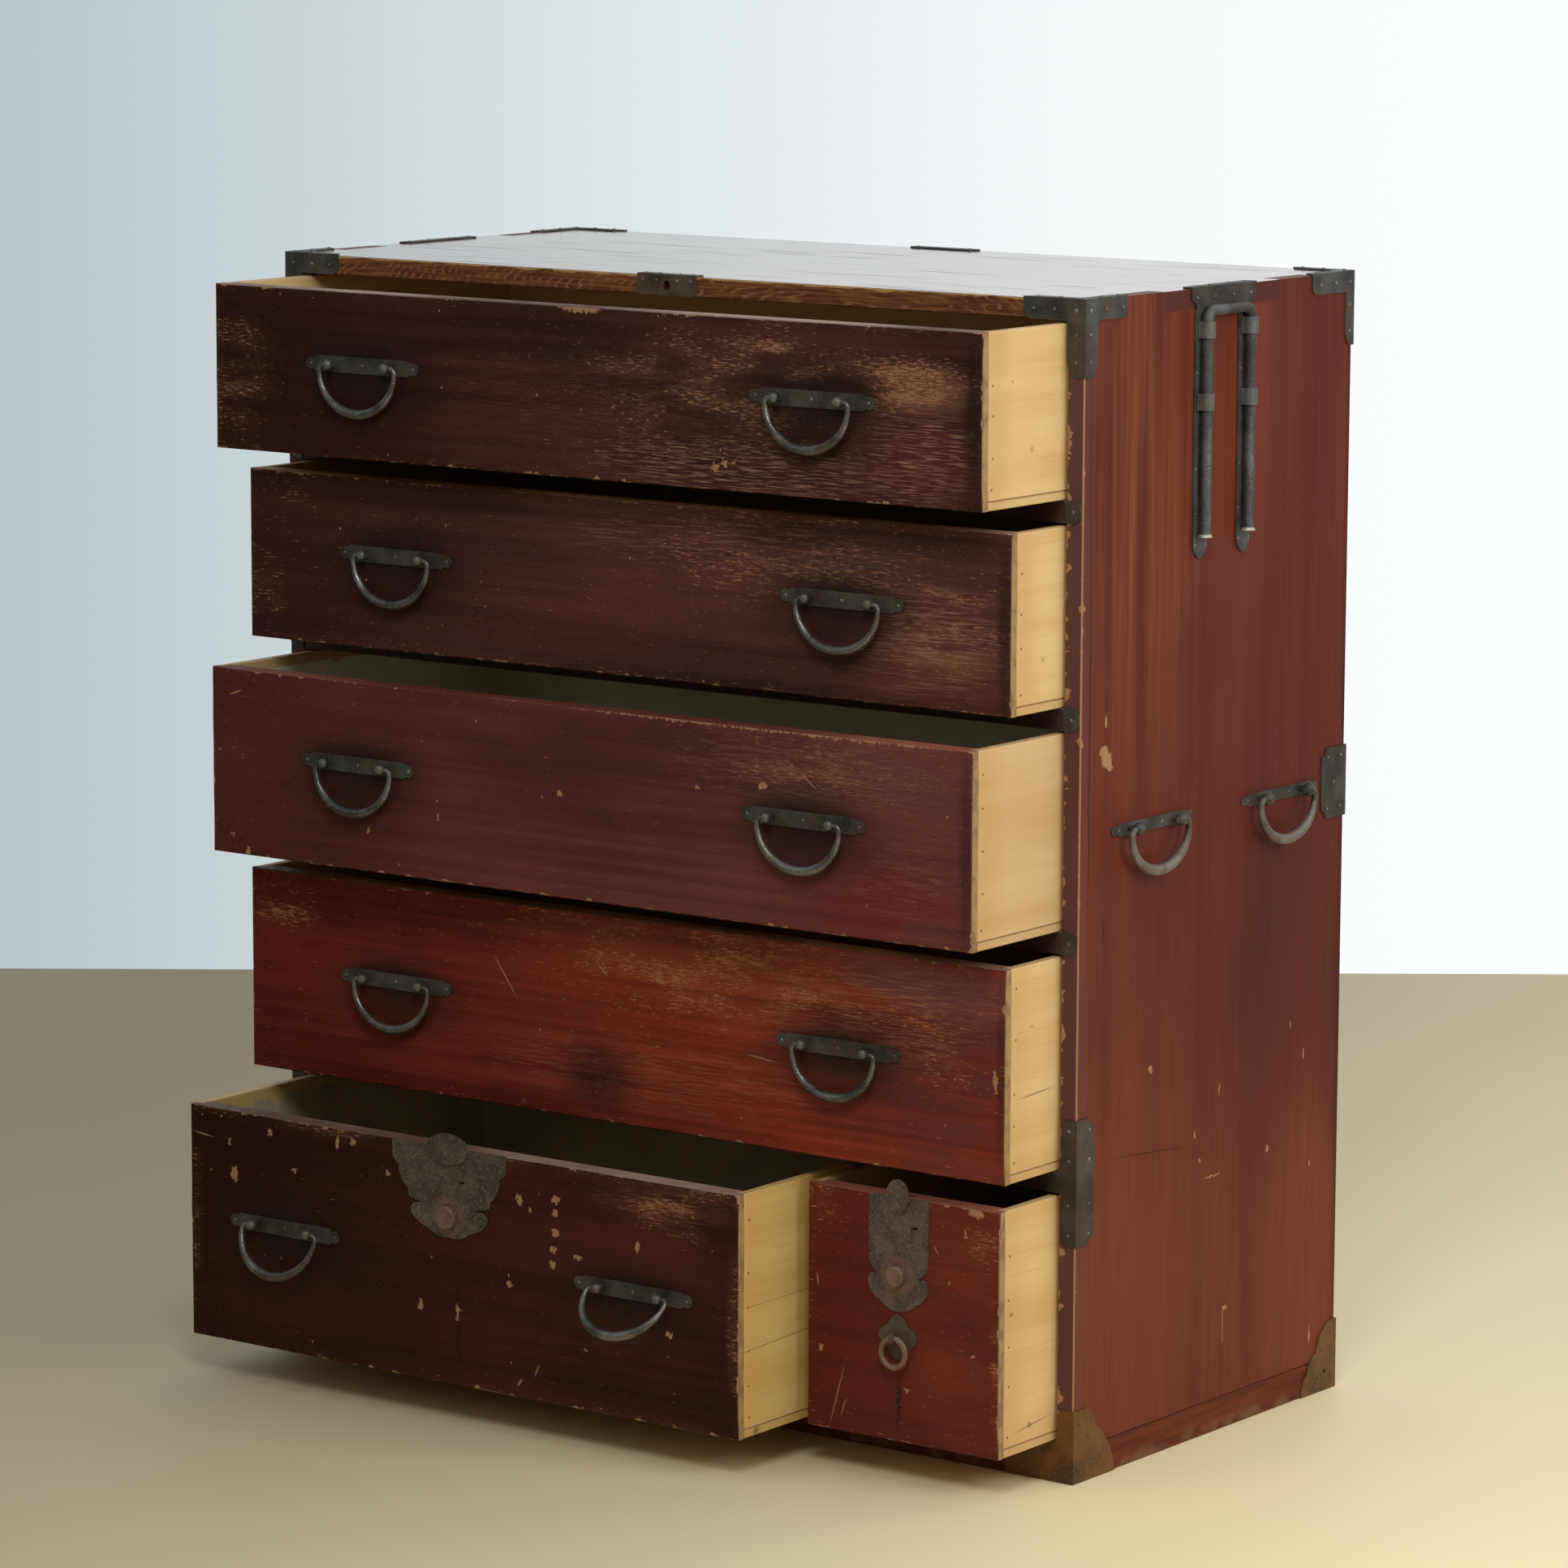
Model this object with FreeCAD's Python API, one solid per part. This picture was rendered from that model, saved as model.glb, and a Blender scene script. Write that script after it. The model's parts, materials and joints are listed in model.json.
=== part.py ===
import FreeCAD, Part
import math
import os

Vector = FreeCAD.Vector
Rotation = FreeCAD.Rotation

# Chest of drawers on a low base frame: X to the right, the front at -Y, Z up.
# The origin is on the floor, under the middle of the carcass. Lengths are millimetres.

# Carcass boards
carcass_width = 909.0
carcass_depth = 439.0
side_thickness = 18.0
top_thickness = 18.0
back_thickness = 7.0
back_rabbet_width = 9.0
bottom_thickness = 7.0
sill_height = 30.0
sill_width = 45.0
finger_count = 7
back_board_count = 5
back_board_gap = 0.5

# Rows of drawers, from the top down, and the dividers between them
opening_1_height = 156.0
opening_2_height = 162.0
opening_3_height = 178.0
opening_4_height = 194.0
opening_5_height = 225.0
divider_thickness = 20.0
rail_depth = 42.0
shelf_thickness = 12.0
tongue_thickness = 4.0
tongue_length = 6.0
housing_depth = 5.0
partition_thickness = 12.0
partition_centre = 220.0
partition_housing = 3.0

# Drawers: how far each stands open, its joinery and its running gaps
drawer_1_open = 125.0
drawer_2_open = 79.0
drawer_3_open = 135.0
drawer_4_open = 82.0
drawer_5_open = 172.0
drawer_6_open = 88.0
drawer_side_gap = 2.0
drawer_partition_gap = 1.0
drawer_top_gap = 2.5
running_gap = 0.3
closing_gap = 0.5
front_thickness = 20.0
front_lap = 9.0
box_side_thickness = 9.0
box_back_thickness = 9.0
box_bottom_thickness = 8.0
box_back_drop = 8.0

# Sheet iron
iron_sheet = 1.4
flange_width = 11.0
end_notch = 8.0
leg_width = 18.0
rear_leg_width = 13.0
leg_end = 15.0
arm_end = 8.0
leg_corner = 2.0
top_iron_front_arm = 64.0
top_iron_rear_arm = 71.0
top_iron_drop = 67.0
base_iron_height = 66.0
base_iron_front_arm = 71.0
base_iron_side_arm = 65.0
base_iron_side_top = 20.0
base_iron_cusp_out = 36.0
base_iron_cusp_up = 47.0
base_iron_leg = 16.0
base_iron_sill_gap = 1.0
base_iron_rear_arm = 59.0
base_iron_rear_tip = 8.0
base_iron_hole = 2.2
post_strap_height = 114.0
post_strap_side = 26.0
post_strap_front = 15.0
edge_plate_height = 66.0
edge_plate_side = 41.0
edge_plate_back = 24.0
edge_plate_level = 579.0
side_plate_length = 106.0
rear_plate_length = 76.0
top_lock_length = 67.0
top_lock_corner = 1.6
tab_on_post = 17.0
strap_on_rail = 16.0

# Bail pulls of the drawers
pull_plate_length = 134.0
pull_plate_height = 15.0
pull_plate_end = 12.0
pull_post_spacing = 68.0
pull_spread = 510.0
pull_spread_5 = 412.0
pull_1_drop = 67.0
pull_2_drop = 71.0
pull_3_drop = 77.0
pull_4_drop = 90.0
pull_5_drop = 104.0
pull_eye_radius = 5.2
pull_standoff = 9.0
pull_neck_radius = 2.4
pull_width = 89.4
pull_drop = 44.0
pull_elbow = 5.0
pull_end_radius = 2.2
pull_middle_radius = 4.6
pull_rest_angle_5_left = 16.0
pull_rest_angle_5_right = 42.0
clinch_length = 13.0
clinch_width = 3.4
clinch_thickness = 1.3

# Bail pulls of the sides
side_pull_plate_length = 130.0
side_pull_plate_height = 11.0
side_pull_post_spacing = 70.0
side_pull_inset = 113.5
side_pull_level = 580.0
side_pull_eye_radius = 6.0
side_pull_standoff = 10.5
side_pull_neck_radius = 3.0
side_pull_width = 92.0
side_pull_drop = 41.0
side_pull_elbow = 6.0
side_pull_end_radius = 2.8
side_pull_middle_radius = 4.9
side_spike_length = 14.0

# Pole handles
pole_rod_radius = 4.9
pole_leg_spacing = 71.0
pole_bend = 9.0
pole_length = 206.0
pole_top_drop = 15.0
pole_foot_radius = 6.6
pole_foot_height = 3.0
pole_strap_width = 23.0
pole_strap_length = 223.0
pole_strap_tip = 16.0
pole_strap_thickness = 2.0
pole_band_height = 15.0
pole_band_thickness = 1.4
pole_band_foot = 2.3
pole_upper_band_drop = 36.5
pole_lower_band_drop = 100.5
slide_gap = 0.4

# Locks
lock_5_shift = -7.0
lock_5_width = 134.0
lock_5_height = 84.0
lock_5_button_drop = 65.0
lock_5_button_radius = 11.0
lock_5_key_shift = 17.0
lock_5_key_drop = 18.0
lock_5_tab_width = 48.0
lock_5_tab_height = 29.0
lock_5_tab_rise = 13.0
lock_6_shift = -4.0
lock_6_width = 64.0
lock_6_height = 104.0
lock_6_button_drop = 71.0
lock_6_button_radius = 9.5
lock_6_key_shift = 15.0
lock_6_key_drop = 25.0
lock_6_tab_width = 24.0
lock_6_tab_height = 31.0
lock_6_tab_rise = 16.0
tab_thickness = 2.2
key_height = 15.0
key_width = 2.6
key_hook = 6.0
key_depth = 6.0
top_key_height = 9.0
top_key_width = 6.4
washer_petals = 5
washer_radius = 19.0
washer_thickness = 1.2
button_stand = 9.0
button_inside = 10.0
button_travel = 3.0
button_round = 2.0
bolt_width = 22.0
bolt_thickness = 5.0
bolt_length = 40.0
bolt_throw = 6.0
bolt_setback = 8.0
bolt_recess = 0.5
top_bolt_length = 10.0
strike_clearance = 2.0

# Ring of the small drawer
ring_drop = 127.0
ring_plate_petals = 4
ring_plate_radius = 21.0
ring_radius = 13.0
ring_wire = 2.7
ring_standoff = 8.0
ring_eye_radius = 5.6
ring_eye_width = 3.6
ring_clearance = 0.6

# Fits
pin_clearance = 0.3
seat_clearance = 0.1
cut_over = 5.0

# Shapes of curves, as an arc's rise over half its chord, and places along outlines
scoop_share = -0.35
round_share = 0.42
shoulder_share = 0.30
cheek_share = 0.20
leg_tip_share = 0.52
pull_lobe_share = 0.80
ogee_out_shares = (1.0, 0.80, 0.50)
ogee_up_shares = (0.0, 0.30, 0.58)
petal_valley_share = 0.70
petal_share = 0.28
bail_taper_power = 1.1
bail_sections = 24

# Right half of each lock plate, from its lowest point up: shares of the half width and of
# the height, and the bow of the edge that follows
lock_5_cloud_shares = (
    (0.00, 1.00, 0.25),
    (0.36, 0.93, 0.15),
    (0.62, 0.83, 0.75),
    (0.57, 0.67, 0.05),
    (0.41, 0.66, 0.05),
    (0.69, 0.62, 0.25),
    (0.72, 0.53, 0.30),
    (0.88, 0.27, 0.35),
    (1.00, 0.14),
    (1.00, 0.00),
)
lock_6_cloud_shares = (
    (0.00, 1.00, 0.20),
    (0.62, 0.92, 0.20),
    (0.93, 0.84, 0.40),
    (0.90, 0.69, 0.05),
    (0.67, 0.70, 0.05),
    (0.88, 0.64, 0.25),
    (1.00, 0.55),
    (1.00, 0.00),
)

# Levels and planes that follow from the sizes above
row_heights = {
    1: opening_1_height,
    2: opening_2_height,
    3: opening_3_height,
    4: opening_4_height,
    5: opening_5_height,
}
row_floors = {}
level = sill_height + bottom_thickness
for row in sorted(row_heights, reverse=True):
    row_floors[row] = level
    level = level + row_heights[row] + divider_thickness
top_underside = level - divider_thickness
carcass_height = top_underside + top_thickness
half_width = carcass_width / 2
half_depth = carcass_depth / 2
inner_half_width = half_width - side_thickness
back_plane = half_depth - back_thickness
drawer_depth = carcass_depth - back_thickness - closing_gap
strike_depth = bolt_throw - bolt_recess - drawer_top_gap + strike_clearance
side_pull_centres = {"front": side_pull_inset - half_depth, "rear": half_depth - side_pull_inset}

# Drawings made flat, u to the right and v up, are turned to face these ways
FRONT = Rotation(Vector(1, 0, 0), 90)
RIGHT = Rotation(Vector(1, 1, 1), 120)
REAR = Rotation(Vector(0, 0, 1), 180).multiply(FRONT)
TOP = Rotation()
ACROSS = Vector(1, 0, 0)
DEEP = Vector(0, 1, 0)


def board(x0, x1, y0, y1, z0, z1):
    """A sawn board between two corners."""
    return Part.makeBox(x1 - x0, y1 - y0, z1 - z0, Vector(x0, y0, z0))


def set_on(piece, facing, x, y, z):
    """Turns a piece to face one way and carries it to its place."""
    moved = piece.copy()
    moved.Placement = FreeCAD.Placement(Vector(x, y, z), facing).multiply(moved.Placement)
    return moved


def mirrored(piece, normal):
    return piece.mirror(Vector(0, 0, 0), normal)


def both_sides(pieces):
    """The pieces of the right side and their mirror images on the left."""
    return pieces + [mirrored(piece, ACROSS) for piece in pieces]


def outline(points):
    """A flat face round corner points. A third number bows the edge that follows to its right."""
    edges = []
    for point, following in zip(points, points[1:] + points[:1]):
        start = Vector(point[0], point[1], 0)
        end = Vector(following[0], following[1], 0)
        if len(point) == 3:
            chord = end - start
            rise = Vector(chord.y, -chord.x, 0) * (point[2] / 2)
            middle = (start + end) / 2 + rise
            edges.append(Part.Arc(start, middle, end).toShape())
        else:
            edges.append(Part.LineSegment(start, end).toShape())
    return Part.Face(Part.Wire(edges))


def sheet(points, thickness=iron_sheet):
    """A flat plate cut to an outline, standing out from the surface it is nailed to."""
    return outline(points).extrude(Vector(0, 0, thickness))


def rod(radius, start, end):
    way = end - start
    return Part.makeCylinder(radius, way.Length, start, way)


def save(name, *pieces):
    """Writes one node, a single solid or a group of solids."""
    for piece in pieces:
        assert piece.isValid() and piece.Volume > 0, name
    shape = pieces[0] if len(pieces) == 1 else Part.makeCompound(list(pieces))
    shape.exportStep(os.path.join("parts", name + ".step"))


# Side panels, housed for the dividers, with fingers for the top board's pins
def finger_spans():
    """Front and rear of each pin of the top board; the sides' fingers lie between them."""
    width = carcass_depth / finger_count
    starts = [-half_depth + width * index for index in range(0, finger_count, 2)]
    return [(start, start + width) for start in starts]


def divider_top(number):
    return row_floors[number]


def side_panel():
    panel = board(inner_half_width, half_width, -half_depth, half_depth, sill_height, carcass_height)
    cuts = []
    for front, rear in finger_spans():
        cuts.append(board(inner_half_width, half_width, front, rear, top_underside, carcass_height))
    outer = inner_half_width + housing_depth
    for number in range(1, len(row_heights)):
        top = divider_top(number)
        rail_back = -half_depth + rail_depth
        cuts.append(board(inner_half_width, outer, -half_depth, rail_back, top - divider_thickness, top))
        cuts.append(board(inner_half_width, outer, rail_back, back_plane, top - shelf_thickness, top))
    cuts.append(
        board(
            inner_half_width,
            inner_half_width + back_rabbet_width,
            back_plane,
            half_depth,
            sill_height,
            top_underside,
        )
    )
    return panel.cut(cuts)


def side_spike_bores():
    """Bores in the right panel for the spikes of the side pulls."""
    bores = []
    for centre in side_pull_centres.values():
        for offset in (-side_pull_post_spacing / 2, side_pull_post_spacing / 2):
            outside = Vector(half_width + cut_over, centre + offset, side_pull_level)
            inside = Vector(half_width - side_spike_length, centre + offset, side_pull_level)
            bores.append(rod(side_pull_neck_radius + seat_clearance, inside, outside))
    return bores


# Top board with its pins and the mortise of the top lock's bolt
def bolt_mortise(length, x, y, end_level, up):
    """Slot for a flat bolt that comes out at one level, going down from it or up from it."""
    far = end_level + length if up else end_level - length
    near = end_level - cut_over if up else end_level + cut_over
    half = bolt_width / 2 + slide_gap
    deep = bolt_thickness / 2 + slide_gap
    return board(x - half, x + half, y - deep, y + deep, min(near, far), max(near, far))


def flat_bolt(length, x, y, bottom):
    return board(
        x - bolt_width / 2,
        x + bolt_width / 2,
        y - bolt_thickness / 2,
        y + bolt_thickness / 2,
        bottom,
        bottom + length,
    )


bolt_inset = bolt_setback + bolt_thickness / 2
closed_bolt_y = -half_depth + bolt_inset


def top_keyhole():
    """Upright oval through the top lock's plate and the wood in front of its bolt."""
    half = top_key_width / 2
    reach = top_key_height / 2 - half
    oval = outline([(half, -reach), (half, reach, 1), (-half, reach), (-half, -reach, 1)])
    hole = oval.extrude(Vector(0, 0, bolt_setback + iron_sheet))
    middle = carcass_height - top_thickness / 2
    return set_on(hole, FRONT, 0, -half_depth + bolt_setback, middle)


def top_board():
    top = board(-inner_half_width, inner_half_width, -half_depth, half_depth, top_underside, carcass_height)
    pins = []
    for front, rear in finger_spans():
        pins.append(board(-half_width, half_width, front, rear, top_underside, carcass_height))
    slot = bolt_mortise(top_bolt_length + bolt_recess + running_gap, 0, closed_bolt_y, top_underside, True)
    return top.fuse(pins).removeSplitter().cut([slot, top_keyhole()])


# Base frame: sills half-lapped at the corners, with a bearer across the middle
def base_frame():
    lap = sill_height / 2
    inner = half_width - sill_width
    deep = half_depth - sill_width
    front = board(-half_width, half_width, -half_depth, -deep, 0, sill_height)
    front = front.cut(
        [
            board(inner, half_width, -half_depth, -deep, 0, lap),
            board(-half_width, -inner, -half_depth, -deep, 0, lap),
        ]
    )
    side = board(inner, half_width, -half_depth, half_depth, 0, sill_height)
    side = side.cut(
        [
            board(inner, half_width, -half_depth, -deep, lap, sill_height),
            board(inner, half_width, deep, half_depth, lap, sill_height),
        ]
    )
    bearer = board(-sill_width / 2, sill_width / 2, -deep, deep, 0, sill_height)
    return [front, mirrored(front, DEEP), bearer] + both_sides([side])


def back_boards():
    """Wide boards nailed into the side panels' rabbets."""
    boards = []
    height = (top_underside - sill_height) / back_board_count
    reach = inner_half_width + back_rabbet_width
    for index in range(back_board_count):
        low = sill_height + height * index
        high = low + height - back_board_gap
        boards.append(board(-reach, reach, back_plane, half_depth, low, high))
    return boards


def bottom_board():
    floor = sill_height + bottom_thickness
    panel = board(-inner_half_width, inner_half_width, -half_depth, back_plane, sill_height, floor)
    left = partition_centre - partition_thickness / 2
    right = partition_centre + partition_thickness / 2
    return panel.cut(board(left, right, -half_depth, back_plane, floor - partition_housing, floor))


# Dividers: a front rail and a thinner shelf board tongued into it
def divider(number):
    top = divider_top(number)
    reach = inner_half_width + housing_depth
    rail_back = -half_depth + rail_depth
    rail = board(-reach, reach, -half_depth, rail_back, top - divider_thickness, top)
    tongue_low = top - (shelf_thickness + tongue_thickness) / 2
    tongue_high = tongue_low + tongue_thickness
    tongue = board(-reach, reach, rail_back - tongue_length, rail_back, tongue_low, tongue_high)
    rail = rail.cut(tongue)
    shelf = board(-reach, reach, rail_back, back_plane, top - shelf_thickness, top)
    shelf = shelf.fuse(tongue).removeSplitter()
    if number == len(row_heights) - 1:
        left = partition_centre - partition_thickness / 2
        right = partition_centre + partition_thickness / 2
        under = top - divider_thickness
        rail = rail.cut(
            [
                board(left, right, -half_depth, rail_back, under, under + partition_housing),
                bolt_mortise(strike_depth, lock_x(5), closed_bolt_y, under, True),
                bolt_mortise(strike_depth, lock_x(6), closed_bolt_y, under, True),
            ]
        )
    return [rail, shelf]


def partition():
    """Upright board between the bottom drawers, housed in the bottom board and the lowest rail."""
    left = partition_centre - partition_thickness / 2
    right = partition_centre + partition_thickness / 2
    low = row_floors[5] - partition_housing
    under_rail = row_floors[5] + opening_5_height
    under_shelf = divider_top(4) - shelf_thickness
    rail_back = -half_depth + rail_depth
    front = board(left, right, -half_depth, rail_back, low, under_rail + partition_housing)
    rear = board(left, right, rail_back, back_plane, low, under_shelf)
    return front.fuse(rear).removeSplitter()


# Drawers
drawer_opens = {
    1: drawer_1_open,
    2: drawer_2_open,
    3: drawer_3_open,
    4: drawer_4_open,
    5: drawer_5_open,
    6: drawer_6_open,
}
pull_drops = {
    1: pull_1_drop,
    2: pull_2_drop,
    3: pull_3_drop,
    4: pull_4_drop,
    5: pull_5_drop,
}
pull_rest_angles = {
    (5, "left"): pull_rest_angle_5_left,
    (5, "right"): pull_rest_angle_5_right,
}


def drawer_row(number):
    return min(number, len(row_heights))


def drawer_sides(number):
    """Left and right of a drawer's front."""
    left = -inner_half_width + drawer_side_gap
    right = inner_half_width - drawer_side_gap
    if number == 5:
        right = partition_centre - partition_thickness / 2 - drawer_partition_gap
    if number == 6:
        left = partition_centre + partition_thickness / 2 + drawer_partition_gap
    return left, right


def drawer_levels(number):
    """Underside and top edge of a drawer."""
    row = drawer_row(number)
    return row_floors[row] + running_gap, row_floors[row] + row_heights[row] - drawer_top_gap


def drawer_face(number):
    return -half_depth - drawer_opens[number]


def drawer_middle(number):
    left, right = drawer_sides(number)
    return (left + right) / 2


def lock_x(number):
    shift = lock_5_shift if number == 5 else lock_6_shift
    return drawer_middle(number) + shift


def pull_places(number):
    """Middle of each pull plate of a drawer, in x and z."""
    if number not in pull_drops:
        return []
    spread = pull_spread_5 if number == 5 else pull_spread
    level = drawer_levels(number)[1] - pull_drops[number]
    middle = drawer_middle(number)
    return [(middle - spread / 2, level), (middle + spread / 2, level)]


def pull_post_places(number):
    places = []
    for x, z in pull_places(number):
        places.append((x - pull_post_spacing / 2, z))
        places.append((x + pull_post_spacing / 2, z))
    return places


def key_cut(drop, depth):
    """Hooked keyhole, drawn below a plate's top edge."""
    half = key_width / 2
    slot = board(-half, half, -drop - key_height, -drop, -depth, depth)
    hook = board(-half, key_hook, -drop - key_width, -drop, -depth, depth)
    return slot.fuse(hook)


def lock_keyhole(number):
    """Keyhole of a drawer lock, hooked at its top or turned to hook at its foot."""
    lock = locks[number]
    middle = lock["key_drop"] + key_height / 2
    centred = set_on(key_cut(lock["key_drop"], key_depth), TOP, 0, middle, 0)
    return set_on(centred, Rotation(Vector(0, 0, 1), lock["key_turn"]), 0, -middle, 0)


def drawer_front(number):
    left, right = drawer_sides(number)
    low, high = drawer_levels(number)
    face = drawer_face(number)
    inside = face + front_thickness
    shoulder = face + front_lap
    front = board(left, right, face, inside, low, high)
    cuts = [
        board(left, left + box_side_thickness, shoulder, inside, low, high),
        board(right - box_side_thickness, right, shoulder, inside, low, high),
        board(left, right, shoulder, inside, low, low + box_bottom_thickness),
    ]
    for x, z in pull_post_places(number):
        cuts.append(rod(pull_neck_radius + seat_clearance, Vector(x, face, z), Vector(x, inside, z)))
    if number == 1:
        cuts.append(bolt_mortise(strike_depth, 0, face + bolt_inset, high, False))
    if number in locks:
        lock = locks[number]
        x = lock_x(number)
        slot = bolt_length + bolt_recess + running_gap
        cuts.append(bolt_mortise(slot, x, face + bolt_inset, high, False))
        bore_end = face + button_inside + button_travel + slide_gap
        z = high - lock["button_drop"]
        cuts.append(rod(lock["button_radius"] + slide_gap, Vector(x, face, z), Vector(x, bore_end, z)))
        cuts.append(set_on(lock_keyhole(number), FRONT, x + lock["key_shift"], face, high))
    if number == 6:
        x, z = ring_place()
        end = face + side_spike_length
        cuts.append(rod(pull_neck_radius + seat_clearance, Vector(x, face, z), Vector(x, end, z)))
    return front.cut(cuts)


def drawer_box(number):
    """Two sides and a back standing on the bottom board."""
    left, right = drawer_sides(number)
    low, high = drawer_levels(number)
    start = drawer_face(number) + front_lap
    end = drawer_face(number) + drawer_depth
    floor = low + box_bottom_thickness
    left_in = left + box_side_thickness
    right_in = right - box_side_thickness
    return [
        board(left, left_in, start, end, floor, high),
        board(right_in, right, start, end, floor, high),
        board(left_in, right_in, end - box_back_thickness, end, floor, high - box_back_drop),
        board(left, right, start, end, low, floor),
    ]


# Bail pulls: a shaped plate, two eyes and a bail that thickens towards its middle
def pull_plate(length, height, neck_radius, post_spacing):
    half = length / 2
    rise = height / 2
    shoulder = half - pull_plate_end
    step = half - pull_plate_end / 2
    inner = rise * pull_lobe_share
    plate = sheet(
        [
            (-shoulder, -rise),
            (shoulder, -rise, scoop_share),
            (step, -inner, round_share),
            (half, 0, round_share),
            (step, inner, scoop_share),
            (shoulder, rise),
            (-shoulder, rise, scoop_share),
            (-step, inner, round_share),
            (-half, 0, round_share),
            (-step, -inner, scoop_share),
        ]
    )
    holes = []
    for place in (-post_spacing / 2, post_spacing / 2):
        holes.append(Part.makeCylinder(neck_radius + seat_clearance, iron_sheet, Vector(place, 0, 0)))
    return plate.cut(holes)


def eye(radius, standoff, neck_radius, pin_radius, neck_length):
    """Ball-headed eye on its shank, bored across for the bail's pin."""
    ball = Part.makeSphere(radius, Vector(0, 0, standoff))
    neck = rod(neck_radius, Vector(0, 0, -neck_length), Vector(0, 0, standoff))
    bore = rod(pin_radius + pin_clearance, Vector(-radius, 0, standoff), Vector(radius, 0, standoff))
    return ball.fuse(neck).cut(bore)


def clinched_eye():
    """Drawer eye: its split legs are spread flat behind the front board."""
    post = eye(pull_eye_radius, pull_standoff, pull_neck_radius, pull_end_radius, front_thickness)
    legs = board(
        -clinch_width / 2,
        clinch_width / 2,
        -clinch_length,
        clinch_length,
        -front_thickness - clinch_thickness,
        -front_thickness,
    )
    return post.fuse(legs)


def bail(width, drop, elbow, end_radius, middle_radius, post_spacing, eye_radius):
    """Bail hanging from the u axis: inward pins, an elbow each side and a tapered bow."""
    half = width / 2
    depth = drop - elbow
    sections = []
    for index in range(bail_sections + 1):
        turn = math.pi * index / bail_sections - math.pi / 2
        centre = Vector(half * math.sin(turn), -elbow - depth * math.cos(turn), 0)
        way = Vector(half * math.cos(turn), depth * math.sin(turn), 0)
        swell = max(math.cos(turn), 0) ** bail_taper_power
        radius = end_radius + (middle_radius - end_radius) * swell
        ring = Part.Wire(Part.makeCircle(radius))
        facing = Rotation(Vector(0, 0, 1), Vector(0, 0, 0), way, "ZXY")
        sections.append(set_on(ring, facing, centre.x, centre.y, centre.z))
    bow = Part.makeLoft(sections, True, True)
    pin_end = Vector(post_spacing / 2 - eye_radius, 0, 0)
    bend_start = Vector(half - elbow, 0, 0)
    bend_end = Vector(half, -elbow, 0)
    bend_middle = Vector(half - elbow, -elbow, 0) + Vector(1, 1, 0).normalize() * elbow
    path = Part.Wire(
        [
            Part.LineSegment(pin_end, bend_start).toShape(),
            Part.Arc(bend_start, bend_middle, bend_end).toShape(),
        ]
    )
    profile = Part.Wire(Part.makeCircle(end_radius, pin_end, Vector(1, 0, 0)))
    arm = path.makePipeShell([profile], True, False)
    return bow.fuse([arm, mirrored(arm, ACROSS)]).removeSplitter()


def drawer_bail():
    return bail(
        pull_width,
        pull_drop,
        pull_elbow,
        pull_end_radius,
        pull_middle_radius,
        pull_post_spacing,
        pull_eye_radius,
    )


def side_bail():
    return bail(
        side_pull_width,
        side_pull_drop,
        side_pull_elbow,
        side_pull_end_radius,
        side_pull_middle_radius,
        side_pull_post_spacing,
        side_pull_eye_radius,
    )


def swung(piece, angle):
    """A hanging piece turned outwards about its pins."""
    return set_on(piece, Rotation(Vector(-1, 0, 0), angle), 0, 0, 0)


def pull_mounts(number):
    """Plates and eyes of one drawer's pulls."""
    plate = pull_plate(pull_plate_length, pull_plate_height, pull_neck_radius, pull_post_spacing)
    post = clinched_eye()
    face = drawer_face(number)
    pieces = [set_on(plate, FRONT, x, face, z) for x, z in pull_places(number)]
    return pieces + [set_on(post, FRONT, x, face, z) for x, z in pull_post_places(number)]


def side_pull_mounts():
    """Plates and driven eyes of the right side's two pulls."""
    plate = pull_plate(
        side_pull_plate_length,
        side_pull_plate_height,
        side_pull_neck_radius,
        side_pull_post_spacing,
    )
    spike = eye(
        side_pull_eye_radius,
        side_pull_standoff,
        side_pull_neck_radius,
        side_pull_end_radius,
        side_spike_length,
    )
    pieces = []
    for centre in side_pull_centres.values():
        pieces.append(set_on(plate, RIGHT, half_width, centre, side_pull_level))
        for offset in (-side_pull_post_spacing / 2, side_pull_post_spacing / 2):
            pieces.append(set_on(spike, RIGHT, half_width, centre + offset, side_pull_level))
    return pieces


# Pole handles: a rod bent over the top, sliding in bands on two straps
pole_standoff = pole_strap_thickness + slide_gap + pole_rod_radius
pole_top = carcass_height - pole_top_drop
pole_foot = pole_top - pole_length
pole_band_drops = (pole_upper_band_drop, pole_lower_band_drop)


def pole_handle():
    """The bent rod, drawn with u across the legs and v up from its feet."""
    half = pole_leg_spacing / 2
    crown = pole_length - pole_rod_radius
    bend = math.sqrt(2) / 2
    corner = Vector(half - pole_bend, crown - pole_bend, 0)
    arc_middle = corner + Vector(bend, bend, 0) * pole_bend
    leg_end = Vector(half, crown - pole_bend, 0)
    bar_end = Vector(half - pole_bend, crown, 0)
    foot = Vector(half, 0, 0)
    path = Part.Wire(
        [
            Part.LineSegment(foot, leg_end).toShape(),
            Part.Arc(leg_end, arc_middle, bar_end).toShape(),
            Part.LineSegment(bar_end, Vector(0, crown, 0)).toShape(),
        ]
    )
    profile = Part.Wire(Part.makeCircle(pole_rod_radius, foot, Vector(0, 1, 0)))
    half_rod = path.makePipeShell([profile], True, False)
    flare = Part.makeCone(pole_foot_radius, pole_rod_radius, pole_foot_height, foot, Vector(0, 1, 0))
    behind = board(
        0,
        half + pole_foot_radius + cut_over,
        -cut_over,
        pole_foot_height + cut_over,
        -pole_foot_radius - cut_over,
        -pole_rod_radius,
    )
    half_rod = half_rod.fuse(flare.cut(behind))
    return half_rod.fuse(mirrored(half_rod, ACROSS)).removeSplitter()


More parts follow.
